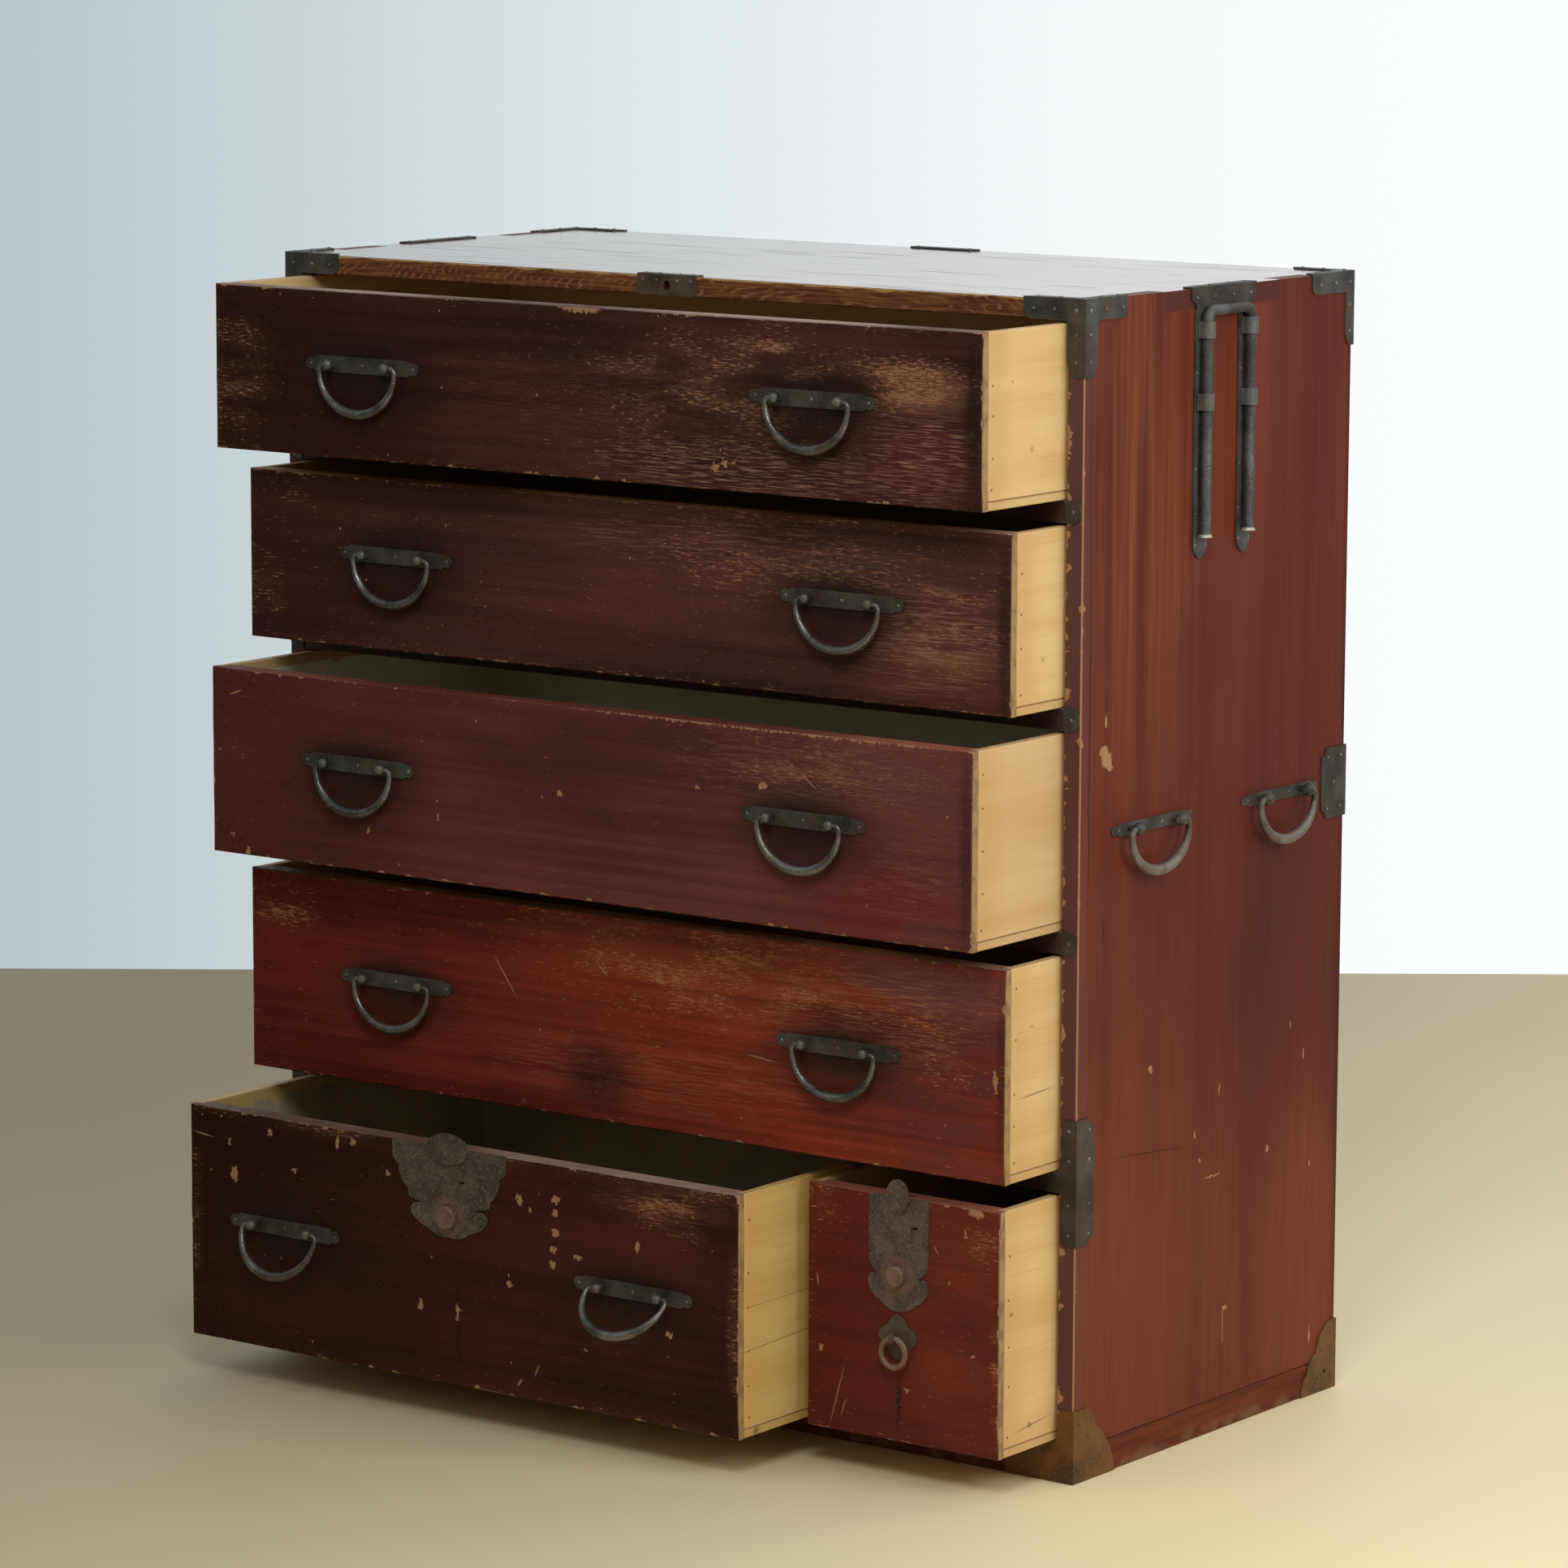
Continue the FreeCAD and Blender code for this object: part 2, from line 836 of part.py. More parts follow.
def pole_strap():
    """Long strap with a pointed lower end, drawn down from its top edge."""
    half = pole_strap_width / 2
    shoulder = pole_strap_length - pole_strap_tip
    return sheet(
        [
            (-half, 0),
            (-half, -shoulder, -scoop_share),
            (0, -pole_strap_length, -scoop_share),
            (half, -shoulder),
            (half, 0),
        ],
        pole_strap_thickness,
    )


def pole_band():
    """Band nailed to the strap and arched over the rod."""
    inner = pole_rod_radius + slide_gap
    outer = inner + pole_band_thickness
    half = outer + pole_band_foot
    rise = pole_standoff
    low = -pole_band_height / 2
    high = pole_band_height / 2
    flat_top = pole_strap_thickness + pole_band_thickness
    arch = Part.makeCylinder(outer, pole_band_height, Vector(0, low, rise), Vector(0, 1, 0))
    cheeks = board(-outer, outer, low, high, pole_strap_thickness, rise)
    feet = board(-half, half, low, high, pole_strap_thickness, flat_top)
    hollow = Part.makeCylinder(inner, pole_band_height, Vector(0, low, rise), Vector(0, 1, 0))
    channel = board(-inner, inner, low, high, pole_strap_thickness, rise)
    body = arch.fuse([cheeks, feet]).cut([hollow, channel])
    return body.cut(board(-half, half, low, high, -outer, pole_strap_thickness))


def pole_mounts():
    """Straps and bands of the right side."""
    pieces = []
    for place in (-pole_leg_spacing / 2, pole_leg_spacing / 2):
        pieces.append(set_on(pole_strap(), RIGHT, half_width, place, top_underside))
        for drop in pole_band_drops:
            pieces.append(set_on(pole_band(), RIGHT, half_width, place, carcass_height - drop))
    return pieces


# Sheet-iron fittings, drawn for the front right corner
def corner_leg(arm, width):
    """Face of a top corner iron: an arm along the edge and a leg down the corner, narrowing at its foot."""
    return sheet(
        [
            (-iron_sheet, iron_sheet),
            (-iron_sheet, -top_iron_drop),
            (width * leg_tip_share, -top_iron_drop, cheek_share),
            (width, -top_iron_drop + leg_end),
            (width, -top_thickness - leg_corner, scoop_share),
            (width + leg_corner, -top_thickness),
            (arm - arm_end, -top_thickness, round_share),
            (arm, -top_thickness + arm_end),
            (arm, iron_sheet),
        ]
    )


def top_corner_iron(side_arm, side_leg):
    front = mirrored(corner_leg(top_iron_front_arm, leg_width), ACROSS)
    flange = sheet(
        [
            (iron_sheet, -iron_sheet),
            (iron_sheet, side_arm),
            (-flange_width, side_arm - arm_end),
            (-flange_width, flange_width),
            (arm_end - top_iron_front_arm, flange_width),
            (-top_iron_front_arm, -iron_sheet),
        ]
    )
    pieces = [
        set_on(corner_leg(side_arm, side_leg), RIGHT, half_width, -half_depth, carcass_height),
        set_on(front, FRONT, half_width, -half_depth, carcass_height),
        set_on(flange, TOP, half_width, -half_depth, carcass_height),
    ]
    return pieces[0].fuse(pieces[1:]).removeSplitter()


def base_front_iron():
    """Front base iron: a cheek of two lobes on the side, a foot along the sill and a leg up the post."""
    cheek = sheet(
        [
            (-iron_sheet, 0),
            (base_iron_side_arm, 0, cheek_share),
            (base_iron_cusp_out, base_iron_cusp_up, cheek_share),
            (base_iron_side_top, base_iron_height),
            (-iron_sheet, base_iron_height),
        ]
    )
    foot_top = sill_height + bottom_thickness - base_iron_sill_gap
    toe = sheet(
        [
            (-iron_sheet, 0),
            (base_iron_front_arm, 0, shoulder_share),
            (base_iron_front_arm - leg_end, foot_top),
            (base_iron_leg + leg_corner, foot_top, scoop_share),
            (base_iron_leg, foot_top + leg_corner),
            (base_iron_leg, base_iron_height - end_notch, round_share),
            (base_iron_leg - end_notch, base_iron_height),
            (-iron_sheet, base_iron_height),
        ]
    )
    cheek = set_on(cheek, RIGHT, half_width, -half_depth, 0)
    toe = set_on(mirrored(toe, ACROSS), FRONT, half_width, -half_depth, 0)
    return cheek.fuse(toe).removeSplitter()


def base_rear_iron():
    """Rear base iron: two cheeks cut to an ogee, narrow at the top, with a nail hole."""
    span = base_iron_rear_arm - base_iron_rear_tip
    points = [(-iron_sheet, 0)]
    for out, up in zip(ogee_out_shares, ogee_up_shares):
        points.append((base_iron_rear_tip + span * out, base_iron_height * up, shoulder_share))
    points.append((base_iron_rear_tip, base_iron_height))
    points.append((-iron_sheet, base_iron_height))
    cheek = sheet(points)
    hole = Part.makeCylinder(base_iron_hole, iron_sheet, Vector(leg_width, leg_width, 0))
    cheek = cheek.cut(hole)
    side = set_on(cheek, RIGHT, half_width, -half_depth, 0)
    rear = set_on(mirrored(cheek, ACROSS), FRONT, half_width, -half_depth, 0)
    return mirrored(side.fuse(rear).removeSplitter(), DEEP)


def folded_plate(length, drop, flange, corner=end_notch):
    """Plate hung over an edge: its face below the fold and a flange behind, corners notched."""
    half = length / 2
    notch = min(corner, drop / 2)
    face = sheet(
        [
            (-half, iron_sheet),
            (-half, notch - drop, scoop_share),
            (notch - half, -drop),
            (half - notch, -drop, scoop_share),
            (half, notch - drop),
            (half, iron_sheet),
        ]
    )
    lip = board(-half, half, 0, iron_sheet, -flange, iron_sheet)
    cuts = []
    for end in (-half, half):
        cuts.append(rod(notch / 2, Vector(end, 0, -flange), Vector(end, iron_sheet, -flange)))
    return face.fuse(lip.cut(cuts)).removeSplitter()


def post_strap():
    """Strap round the front post at the lowest divider, with an arm along its rail."""
    quarter = Rotation(Vector(0, 0, 1), 90)
    plate = folded_plate(post_strap_height, post_strap_side, post_strap_front)
    level = divider_top(4) - divider_thickness / 2
    strap = set_on(set_on(plate, quarter, 0, 0, 0), RIGHT, half_width, -half_depth, level)
    inner = inner_half_width - strap_on_rail
    arm = board(
        inner,
        half_width - post_strap_front + end_notch,
        -half_depth - iron_sheet,
        -half_depth,
        level - divider_thickness / 2,
        level + divider_thickness / 2,
    )
    return strap.fuse(arm).removeSplitter()


def rear_edge_plate():
    quarter = Rotation(Vector(0, 0, 1), -90)
    plate = folded_plate(edge_plate_height, edge_plate_side, edge_plate_back)
    return set_on(set_on(plate, quarter, 0, 0, 0), RIGHT, half_width, half_depth, edge_plate_level)


def divider_tab(number):
    """Tab with a round end, on the post where a divider's rail is housed in it."""
    half = divider_thickness / 2
    plate = sheet(
        [
            (0, -half),
            (tab_on_post - half, -half, 1),
            (tab_on_post - half, half),
            (0, half),
        ]
    )
    return set_on(plate, FRONT, inner_half_width, -half_depth, divider_top(number) - half)


def top_lock_plate():
    plate = folded_plate(top_lock_length, top_thickness, flange_width, top_lock_corner)
    return set_on(plate, FRONT, 0, -half_depth, carcass_height).cut(top_keyhole())


# Locks of the bottom drawers: a scalloped plate, a guard tab, a leaf washer, a bolt and a push button
locks = {
    5: {
        "width": lock_5_width,
        "height": lock_5_height,
        "cloud_shares": lock_5_cloud_shares,
        "key_turn": 180,
        "button_drop": lock_5_button_drop,
        "button_radius": lock_5_button_radius,
        "key_shift": lock_5_key_shift,
        "key_drop": lock_5_key_drop,
        "tab_width": lock_5_tab_width,
        "tab_height": lock_5_tab_height,
        "tab_rise": lock_5_tab_rise,
    },
    6: {
        "width": lock_6_width,
        "height": lock_6_height,
        "cloud_shares": lock_6_cloud_shares,
        "key_turn": 0,
        "button_drop": lock_6_button_drop,
        "button_radius": lock_6_button_radius,
        "key_shift": lock_6_key_shift,
        "key_drop": lock_6_key_drop,
        "tab_width": lock_6_tab_width,
        "tab_height": lock_6_tab_height,
        "tab_rise": lock_6_tab_rise,
    },
}


def rosette(radius, petals, thickness):
    """Leaf washer: pointed petals about a centre, one of them upright."""
    points = []
    for index in range(petals):
        turn = 2 * math.pi * index / petals + math.pi / 2
        valley = turn + math.pi / petals
        inner = radius * petal_valley_share
        points.append((radius * math.cos(turn), radius * math.sin(turn), petal_share))
        points.append((inner * math.cos(valley), inner * math.sin(valley), petal_share))
    return sheet(points, thickness)


def lock_plate(number):
    """Cloud-shaped plate with its leaf washer and its guard tab."""
    lock = locks[number]
    half = lock["width"] / 2
    points = [(0, 0)]
    for out, down, *bow in lock["cloud_shares"]:
        points.append((half * out, -lock["height"] * down, *bow))
    right = sheet(points)
    plate = right.fuse(mirrored(right, ACROSS)).removeSplitter()
    hole = lock["button_radius"] + slide_gap
    bore = Part.makeCylinder(hole, button_stand, Vector(0, -lock["button_drop"], 0))
    plate = plate.cut([bore, set_on(lock_keyhole(number), TOP, lock["key_shift"], 0, 0)])
    washer = rosette(washer_radius, washer_petals, washer_thickness)
    washer = set_on(washer, TOP, 0, -lock["button_drop"], iron_sheet).cut(bore)
    long_half = max(lock["tab_width"], lock["tab_height"]) / 2
    short_half = min(lock["tab_width"], lock["tab_height"]) / 2
    oval = Part.Face(Part.Wire(Part.Ellipse(Vector(0, 0, 0), long_half, short_half).toShape()))
    tab = oval.extrude(Vector(0, 0, tab_thickness))
    upright = lock["tab_height"] > lock["tab_width"]
    tab = set_on(tab, Rotation(Vector(0, 0, 1), 90 if upright else 0), 0, 0, 0)
    tab = set_on(tab, TOP, 0, lock["tab_rise"] - lock["tab_height"] / 2, iron_sheet)
    top = drawer_levels(number)[1]
    return [set_on(piece, FRONT, lock_x(number), drawer_face(number), top) for piece in (plate, washer, tab)]


def lock_bolt(number):
    top = drawer_levels(number)[1] - bolt_recess
    return flat_bolt(bolt_length, lock_x(number), drawer_face(number) + bolt_inset, top - bolt_length)


def lock_button(number):
    """Push button with a rounded rim, standing out of the plate."""
    lock = locks[number]
    length = button_stand + button_inside
    button = Part.makeCylinder(lock["button_radius"], length, Vector(0, 0, -button_inside))
    rim = [edge for edge in button.Edges if edge.BoundBox.ZMin > 0]
    button = button.makeFillet(button_round, rim)
    level = drawer_levels(number)[1] - lock["button_drop"]
    return set_on(button, FRONT, lock_x(number), drawer_face(number), level)


def top_lock_bolt():
    return flat_bolt(top_bolt_length, 0, closed_bolt_y, top_underside + bolt_recess)


# Ring pull of the small drawer
def ring_place():
    return lock_x(6), drawer_levels(6)[1] - ring_drop


def ring_mount():
    """Leaf plate with a driven eye for the ring."""
    plate = rosette(ring_plate_radius, ring_plate_petals, iron_sheet)
    plate = plate.cut(Part.makeCylinder(pull_neck_radius + seat_clearance, iron_sheet))
    half = ring_eye_width / 2
    loop = rod(ring_eye_radius, Vector(-half, 0, ring_standoff), Vector(half, 0, ring_standoff))
    neck = rod(pull_neck_radius, Vector(0, 0, -side_spike_length), Vector(0, 0, ring_standoff))
    hole_left = Vector(-ring_eye_radius, 0, ring_standoff)
    hole_right = Vector(ring_eye_radius, 0, ring_standoff)
    hole = rod(ring_wire + ring_clearance, hole_left, hole_right)
    return [plate, loop.fuse(neck).cut(hole)]


def ring():
    """Closed ring hanging from the u axis."""
    return Part.makeTorus(ring_radius, ring_wire, Vector(0, -ring_radius, 0), Vector(0, 0, 1))


def build():
    """Builds every node and writes it."""
    os.makedirs("parts", exist_ok=True)
    panel = side_panel().cut(side_spike_bores())
    save("side_panel_right", panel)
    save("side_panel_left", mirrored(panel, ACROSS))
    save("top_board", top_board())
    save("bottom_board", bottom_board())
    save("back_boards", *back_boards())
    save("base_frame", *base_frame())
    for number in range(1, len(row_heights)):
        save("divider_%d" % number, *divider(number))
    save("bottom_partition", partition())

    front_iron = top_corner_iron(top_iron_front_arm, leg_width)
    rear_iron = mirrored(top_corner_iron(top_iron_rear_arm, rear_leg_width), DEEP)
    save("top_corner_irons", *both_sides([front_iron, rear_iron]))
    save("base_corner_irons", *both_sides([base_front_iron(), base_rear_iron()]))
    side_plate = folded_plate(side_plate_length, top_thickness, flange_width)
    side_plate = set_on(side_plate, RIGHT, half_width, 0, carcass_height)
    rear_plate = folded_plate(rear_plate_length, top_thickness, flange_width)
    rear_plate = set_on(rear_plate, REAR, 0, half_depth, carcass_height)
    save("edge_irons", rear_plate, *both_sides([post_strap(), rear_edge_plate(), side_plate]))
    save("divider_end_tabs", *both_sides([divider_tab(number) for number in range(1, len(row_heights) - 1)]))
    save("top_lock_plate", top_lock_plate())
    save("top_lock_bolt", top_lock_bolt())

    save("side_pull_mounts", *both_sides(side_pull_mounts()))
    save("pole_handle_mounts", *both_sides(pole_mounts()))
    handle = set_on(pole_handle(), RIGHT, half_width + pole_standoff, 0, pole_foot)
    save("pole_handle_right", handle)
    save("pole_handle_left", mirrored(handle, ACROSS))
    for place, centre in side_pull_centres.items():
        hanging = set_on(side_bail(), RIGHT, half_width + side_pull_standoff, centre, side_pull_level)
        save("side_bail_right_" + place, hanging)
        save("side_bail_left_" + place, mirrored(hanging, ACROSS))

    for number in drawer_opens:
        name = "drawer_%d" % number
        save(name + "_front", drawer_front(number))
        save(name + "_box", *drawer_box(number))
        if number in pull_drops:
            save(name + "_pull_mounts", *pull_mounts(number))
        for side, (x, z) in zip(("left", "right"), pull_places(number)):
            angle = pull_rest_angles.get((number, side), 0)
            hung = set_on(swung(drawer_bail(), angle), FRONT, x, drawer_face(number) - pull_standoff, z)
            save("%s_bail_%s" % (name, side), hung)
        if number in locks:
            save(name + "_lock_plate", *lock_plate(number))
            save(name + "_lock_bolt", lock_bolt(number))
            save(name + "_lock_button", lock_button(number))

    x, z = ring_place()
    face = drawer_face(6)
    save("drawer_6_ring_mount", *[set_on(piece, FRONT, x, face, z) for piece in ring_mount()])
    save("drawer_6_ring", set_on(ring(), FRONT, x, face - ring_standoff, z))


build()
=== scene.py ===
import json
import math
import random
from functools import partialmethod

import bmesh
import bpy
from mathutils import Matrix, Vector, noise

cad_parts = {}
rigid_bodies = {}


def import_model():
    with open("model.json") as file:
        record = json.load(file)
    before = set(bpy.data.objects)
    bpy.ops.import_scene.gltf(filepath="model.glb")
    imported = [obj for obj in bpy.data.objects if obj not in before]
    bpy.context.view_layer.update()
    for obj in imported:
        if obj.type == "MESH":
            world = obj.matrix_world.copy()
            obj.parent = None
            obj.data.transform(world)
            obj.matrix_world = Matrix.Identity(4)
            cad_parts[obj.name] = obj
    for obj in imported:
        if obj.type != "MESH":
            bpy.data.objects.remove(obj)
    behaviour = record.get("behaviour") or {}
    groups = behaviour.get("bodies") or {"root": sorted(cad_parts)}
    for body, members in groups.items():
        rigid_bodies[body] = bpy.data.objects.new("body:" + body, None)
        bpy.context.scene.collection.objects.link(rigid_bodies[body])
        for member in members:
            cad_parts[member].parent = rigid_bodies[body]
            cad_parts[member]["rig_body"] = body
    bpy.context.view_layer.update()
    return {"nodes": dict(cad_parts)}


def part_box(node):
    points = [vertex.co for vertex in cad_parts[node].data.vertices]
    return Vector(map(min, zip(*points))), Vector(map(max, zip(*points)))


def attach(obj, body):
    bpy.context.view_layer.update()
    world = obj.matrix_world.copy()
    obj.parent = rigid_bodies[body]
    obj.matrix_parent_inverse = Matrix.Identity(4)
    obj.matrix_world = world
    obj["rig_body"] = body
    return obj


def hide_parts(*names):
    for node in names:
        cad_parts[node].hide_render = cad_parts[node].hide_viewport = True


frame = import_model()


# Side boards
# Two wide softwood boards with upright grain, their tops cut into fingers for the top board.
# Outside they are lacquered red-brown, rubbed to orange along the grain and chipped at the front.
mm = 0.001
wide = 10


class Finish:
    """One finish as it is mixed: most methods add nodes and hand back the socket with the result."""

    def __init__(self, name, store=bpy.data.materials):
        self.material = store.new(name)
        self.material.use_nodes = True
        self.tree = self.material.node_tree
        where = self.add("TexCoord").outputs
        self.way = where["Generated"]
        self.place = where["Object"]
        self.x, self.y, self.z = self.split(self.place)
        self.face_x, self.face_y, self.face_z = self.split(where["Normal"])
        self.colour = None

    def feed(self, socket, value):
        if isinstance(value, bpy.types.NodeSocket):
            self.tree.links.new(value, socket)
        elif socket.type == "RGBA":
            socket.default_value = (*value, 1)
        else:
            socket.default_value = value

    def add(self, kind, inputs=(), **settings):
        """A new node of that kind, with its settings, and its inputs fed by name or number."""
        node = self.tree.nodes.new(f"ShaderNode{kind}")
        for setting, value in settings.items():
            setattr(node, setting, value)
        for socket, value in dict(inputs).items():
            self.feed(node.inputs[socket], value)
        return node

    def split(self, vector):
        return self.add("SeparateXYZ", {0: vector}).outputs[:]

    def math(self, work, *values):
        return self.add("Math", enumerate(values), operation=work).outputs[0]

    def chain(self, work, *values):
        """The values taken together one by one; a tuple stands for the product of its parts."""
        values = [self.times(*value) if isinstance(value, tuple) else value for value in values]
        result = values[0]
        for value in values[1:]:
            result = self.math(work, result, value)
        return result

    most = partialmethod(chain, "MAXIMUM")
    least = partialmethod(chain, "MINIMUM")
    times = partialmethod(chain, "MULTIPLY")
    total = partialmethod(chain, "ADD")
    less = partialmethod(chain, "SUBTRACT")

    def step(self, value, low, high):
        """0 up to low and 1 from high on, smooth between; falling where low is the higher."""
        inputs = {"Value": value, "From Min": low, "From Max": high}
        return self.add("MapRange", inputs, interpolation_type="SMOOTHSTEP").outputs["Result"]

    def texture(self, kind, waves, shift, turn=(0, 0, 0), **inputs):
        moves = {"Vector": self.place, "Location": (shift,) * 3, "Rotation": turn, "Scale": waves}
        place = self.add("Mapping", moves).outputs[0]
        return self.add(kind, {"Vector": place, "Scale": 1, **inputs}).outputs

    def noise(self, waves, detail=2, shift=0, turn=(0, 0, 0)):
        """Cloudy noise about 0.5, with so many waves to the metre along X, Y and Z."""
        return self.texture("TexNoise", waves, shift, turn, Detail=detail)["Fac"]

    def pits(self, waves, shift=0):
        """Distance to the nearest of scattered points, with so many points to the metre."""
        return self.texture("TexVoronoi", waves, shift)["Distance"]

    def torn(self, waves, reach):
        """The place shaken by noise, so that an outline drawn in it comes out ragged."""
        inputs = {"Vector": self.place, "Scale": waves, "Detail": 3}
        cloud = self.add("TexNoise", inputs).outputs["Color"]
        shake = self.add("VectorMath", {0: cloud, 1: (0.5,) * 3}, operation="SUBTRACT").outputs[0]
        inputs = {0: shake, 1: (reach,) * 3, 2: self.place}
        return self.add("VectorMath", inputs, operation="MULTIPLY_ADD").outputs[0]

    def spot(self, centre, reach, soft=0.5, turn=(0, 0, 0), place=None):
        """1 in an oval of that reach round its centre, fading over the outer share soft."""
        moves = {"Vector": place or self.place, "Location": centre, "Rotation": turn, "Scale": reach}
        oval = self.add("Mapping", moves, vector_type="TEXTURE").outputs[0]
        length = self.add("VectorMath", {0: oval}, operation="LENGTH").outputs["Value"]
        return self.step(length, 1, 1 - soft)

    def scar(self, row, soft, slope=0, place=None, x=0, deep=wide):
        """An oval on a side face, as (y, z, half length, half height) in millimetres."""
        y, z, half_length, half_height = (mm * part for part in row)
        return self.spot((x, y, z), (deep, half_length, half_height), soft, (slope, 0, 0), place)

    def mix(self, share, first, second):
        return self.add("Mix", {0: share, 6: first, 7: second}, data_type="RGBA").outputs[2]

    def paint(self, colour, *shares):
        """Covers what is there with a colour, by the product of the shares."""
        self.colour = self.mix(self.times(*shares), self.colour, colour)

    def lay(self, rough, height, depth, gloss=0.5, metal=0, coat=0):
        """Puts the finish on, with that roughness and a relief of that depth in metres."""
        relief = self.add("Bump", {"Distance": depth, "Height": height})
        shader = self.tree.nodes["Principled BSDF"]
        for name, value in (
            ("Base Color", self.colour),
            ("Roughness", rough),
            ("Specular IOR Level", gloss),
            ("Metallic", metal),
            ("Coat Weight", coat),
            ("Coat Roughness", 0.12),
            ("Normal", relief.outputs["Normal"]),
        ):
            self.feed(shader.inputs[name], value)
        return self.material


weld = 1e-5
flat_angle = 0.03
square_angle = 1.2
shortest_arris = 0.1
cut_length = 0.03
wear_waves = 60


def stand(name, data):
    """Puts an object with that data in the scene."""
    thing = bpy.data.objects.new(name, data)
    bpy.context.scene.collection.objects.link(thing)
    return thing


def show(mesh_of_piece, name, body, slot, finish, *nodes):
    """Makes a piece of a finished bmesh: it rides on its body and stands for its CAD nodes."""
    mesh = bpy.data.meshes.new(name)
    mesh_of_piece.to_mesh(mesh)
    mesh_of_piece.free()
    cad_normals = mesh.attributes.get("custom_normal")
    if cad_normals:
        mesh.attributes.remove(cad_normals)
    mesh.materials.append(finish)
    piece = stand(name, mesh)
    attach(piece, body)
    if nodes:
        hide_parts(*nodes)
    return piece


def weld_solids(board):
    """Joins the faces of each solid, but not one solid to the next; the faces come solid by solid."""
    solids = [{}]
    open_edges = set()
    for face in board.faces:
        solids[-1].update(dict.fromkeys(face.verts))
        for edge in face.edges:
            ends = [tuple(round(part, 6) for part in vertex.co) for vertex in edge.verts]
            open_edges ^= {frozenset(ends)}
        if not open_edges:
            solids.append({})
    for corners in solids:
        bmesh.ops.remove_doubles(board, verts=list(corners), dist=weld)


def worn_board(node, name, slot, finish, arris=0.0012, wander=0.0005, holes=(), along=0):
    """A CAD board with its long arrises rubbed round and a little uneven.

    Its faces are parted through each hole, given by a place along X (0) or Y (1), so that none of
    them goes round a hole and the rounding stays clean.
    """
    body = frame["nodes"][node]["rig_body"]
    board = bmesh.new()
    board.from_mesh(frame["nodes"][node].data)
    weld_solids(board)
    bmesh.ops.dissolve_limit(board, angle_limit=flat_angle, verts=board.verts, edges=board.edges)
    for edge in board.edges:
        square = edge.is_manifold and edge.is_convex and edge.calc_face_angle() > square_angle
        edge.seam = square and edge.calc_length() > shortest_arris
    across = Vector((1 - along, along, 0))
    for place in holes:
        every = [*board.verts, *board.edges, *board.faces]
        middle = across * place
        cut = bmesh.ops.bisect_plane(board, geom=every, dist=weld, plane_co=middle, plane_no=across)
        for part in cut["geom_cut"]:
            if isinstance(part, bmesh.types.BMEdge):
                part.smooth = False
    spare = []
    for edge in board.edges:
        if holes and edge.smooth and edge.is_manifold and edge.calc_face_angle() < flat_angle:
            spare.append(edge)
        edge.smooth = True
    bmesh.ops.dissolve_edges(board, edges=spare)
    for edge in [edge for edge in board.edges if edge.seam]:
        bmesh.ops.bisect_edges(board, edges=[edge], cuts=1 + int(edge.calc_length() / cut_length))
    arrises = [edge for edge in board.edges if edge.seam]
    shape = {"affect": "EDGES", "segments": 2, "profile": 0.5, "material": -1}
    rubbed = bmesh.ops.bevel(board, geom=arrises, offset=arris, **shape)
    rounds = set(rubbed["faces"])
    for face in board.faces:
        face.smooth = face in rounds
    for vertex in board.verts:
        if vertex.link_faces and all(face in rounds for face in vertex.link_faces):
            vertex.co -= vertex.normal * wander * (0.6 + noise.noise(vertex.co * wear_waves))
    show(board, name, body, slot, finish, node)


oxblood = (0.094, 0.016, 0.0092)
russet = (0.172, 0.0345, 0.0165)
rubbed_orange = (0.275, 0.076, 0.024)
plum = (0.062, 0.012, 0.007)
bare_wood = (0.44, 0.23, 0.115)
post_brown = (0.112, 0.051, 0.047)
soot_and_shade = (0.016, 0.007, 0.0055)
inside_tan = (0.3, 0.17, 0.075)
lacquer_gloss = 0.12
bail_centres = (-0.106, 0.106)
spikes = (-0.141, -0.071, 0.071, 0.141)


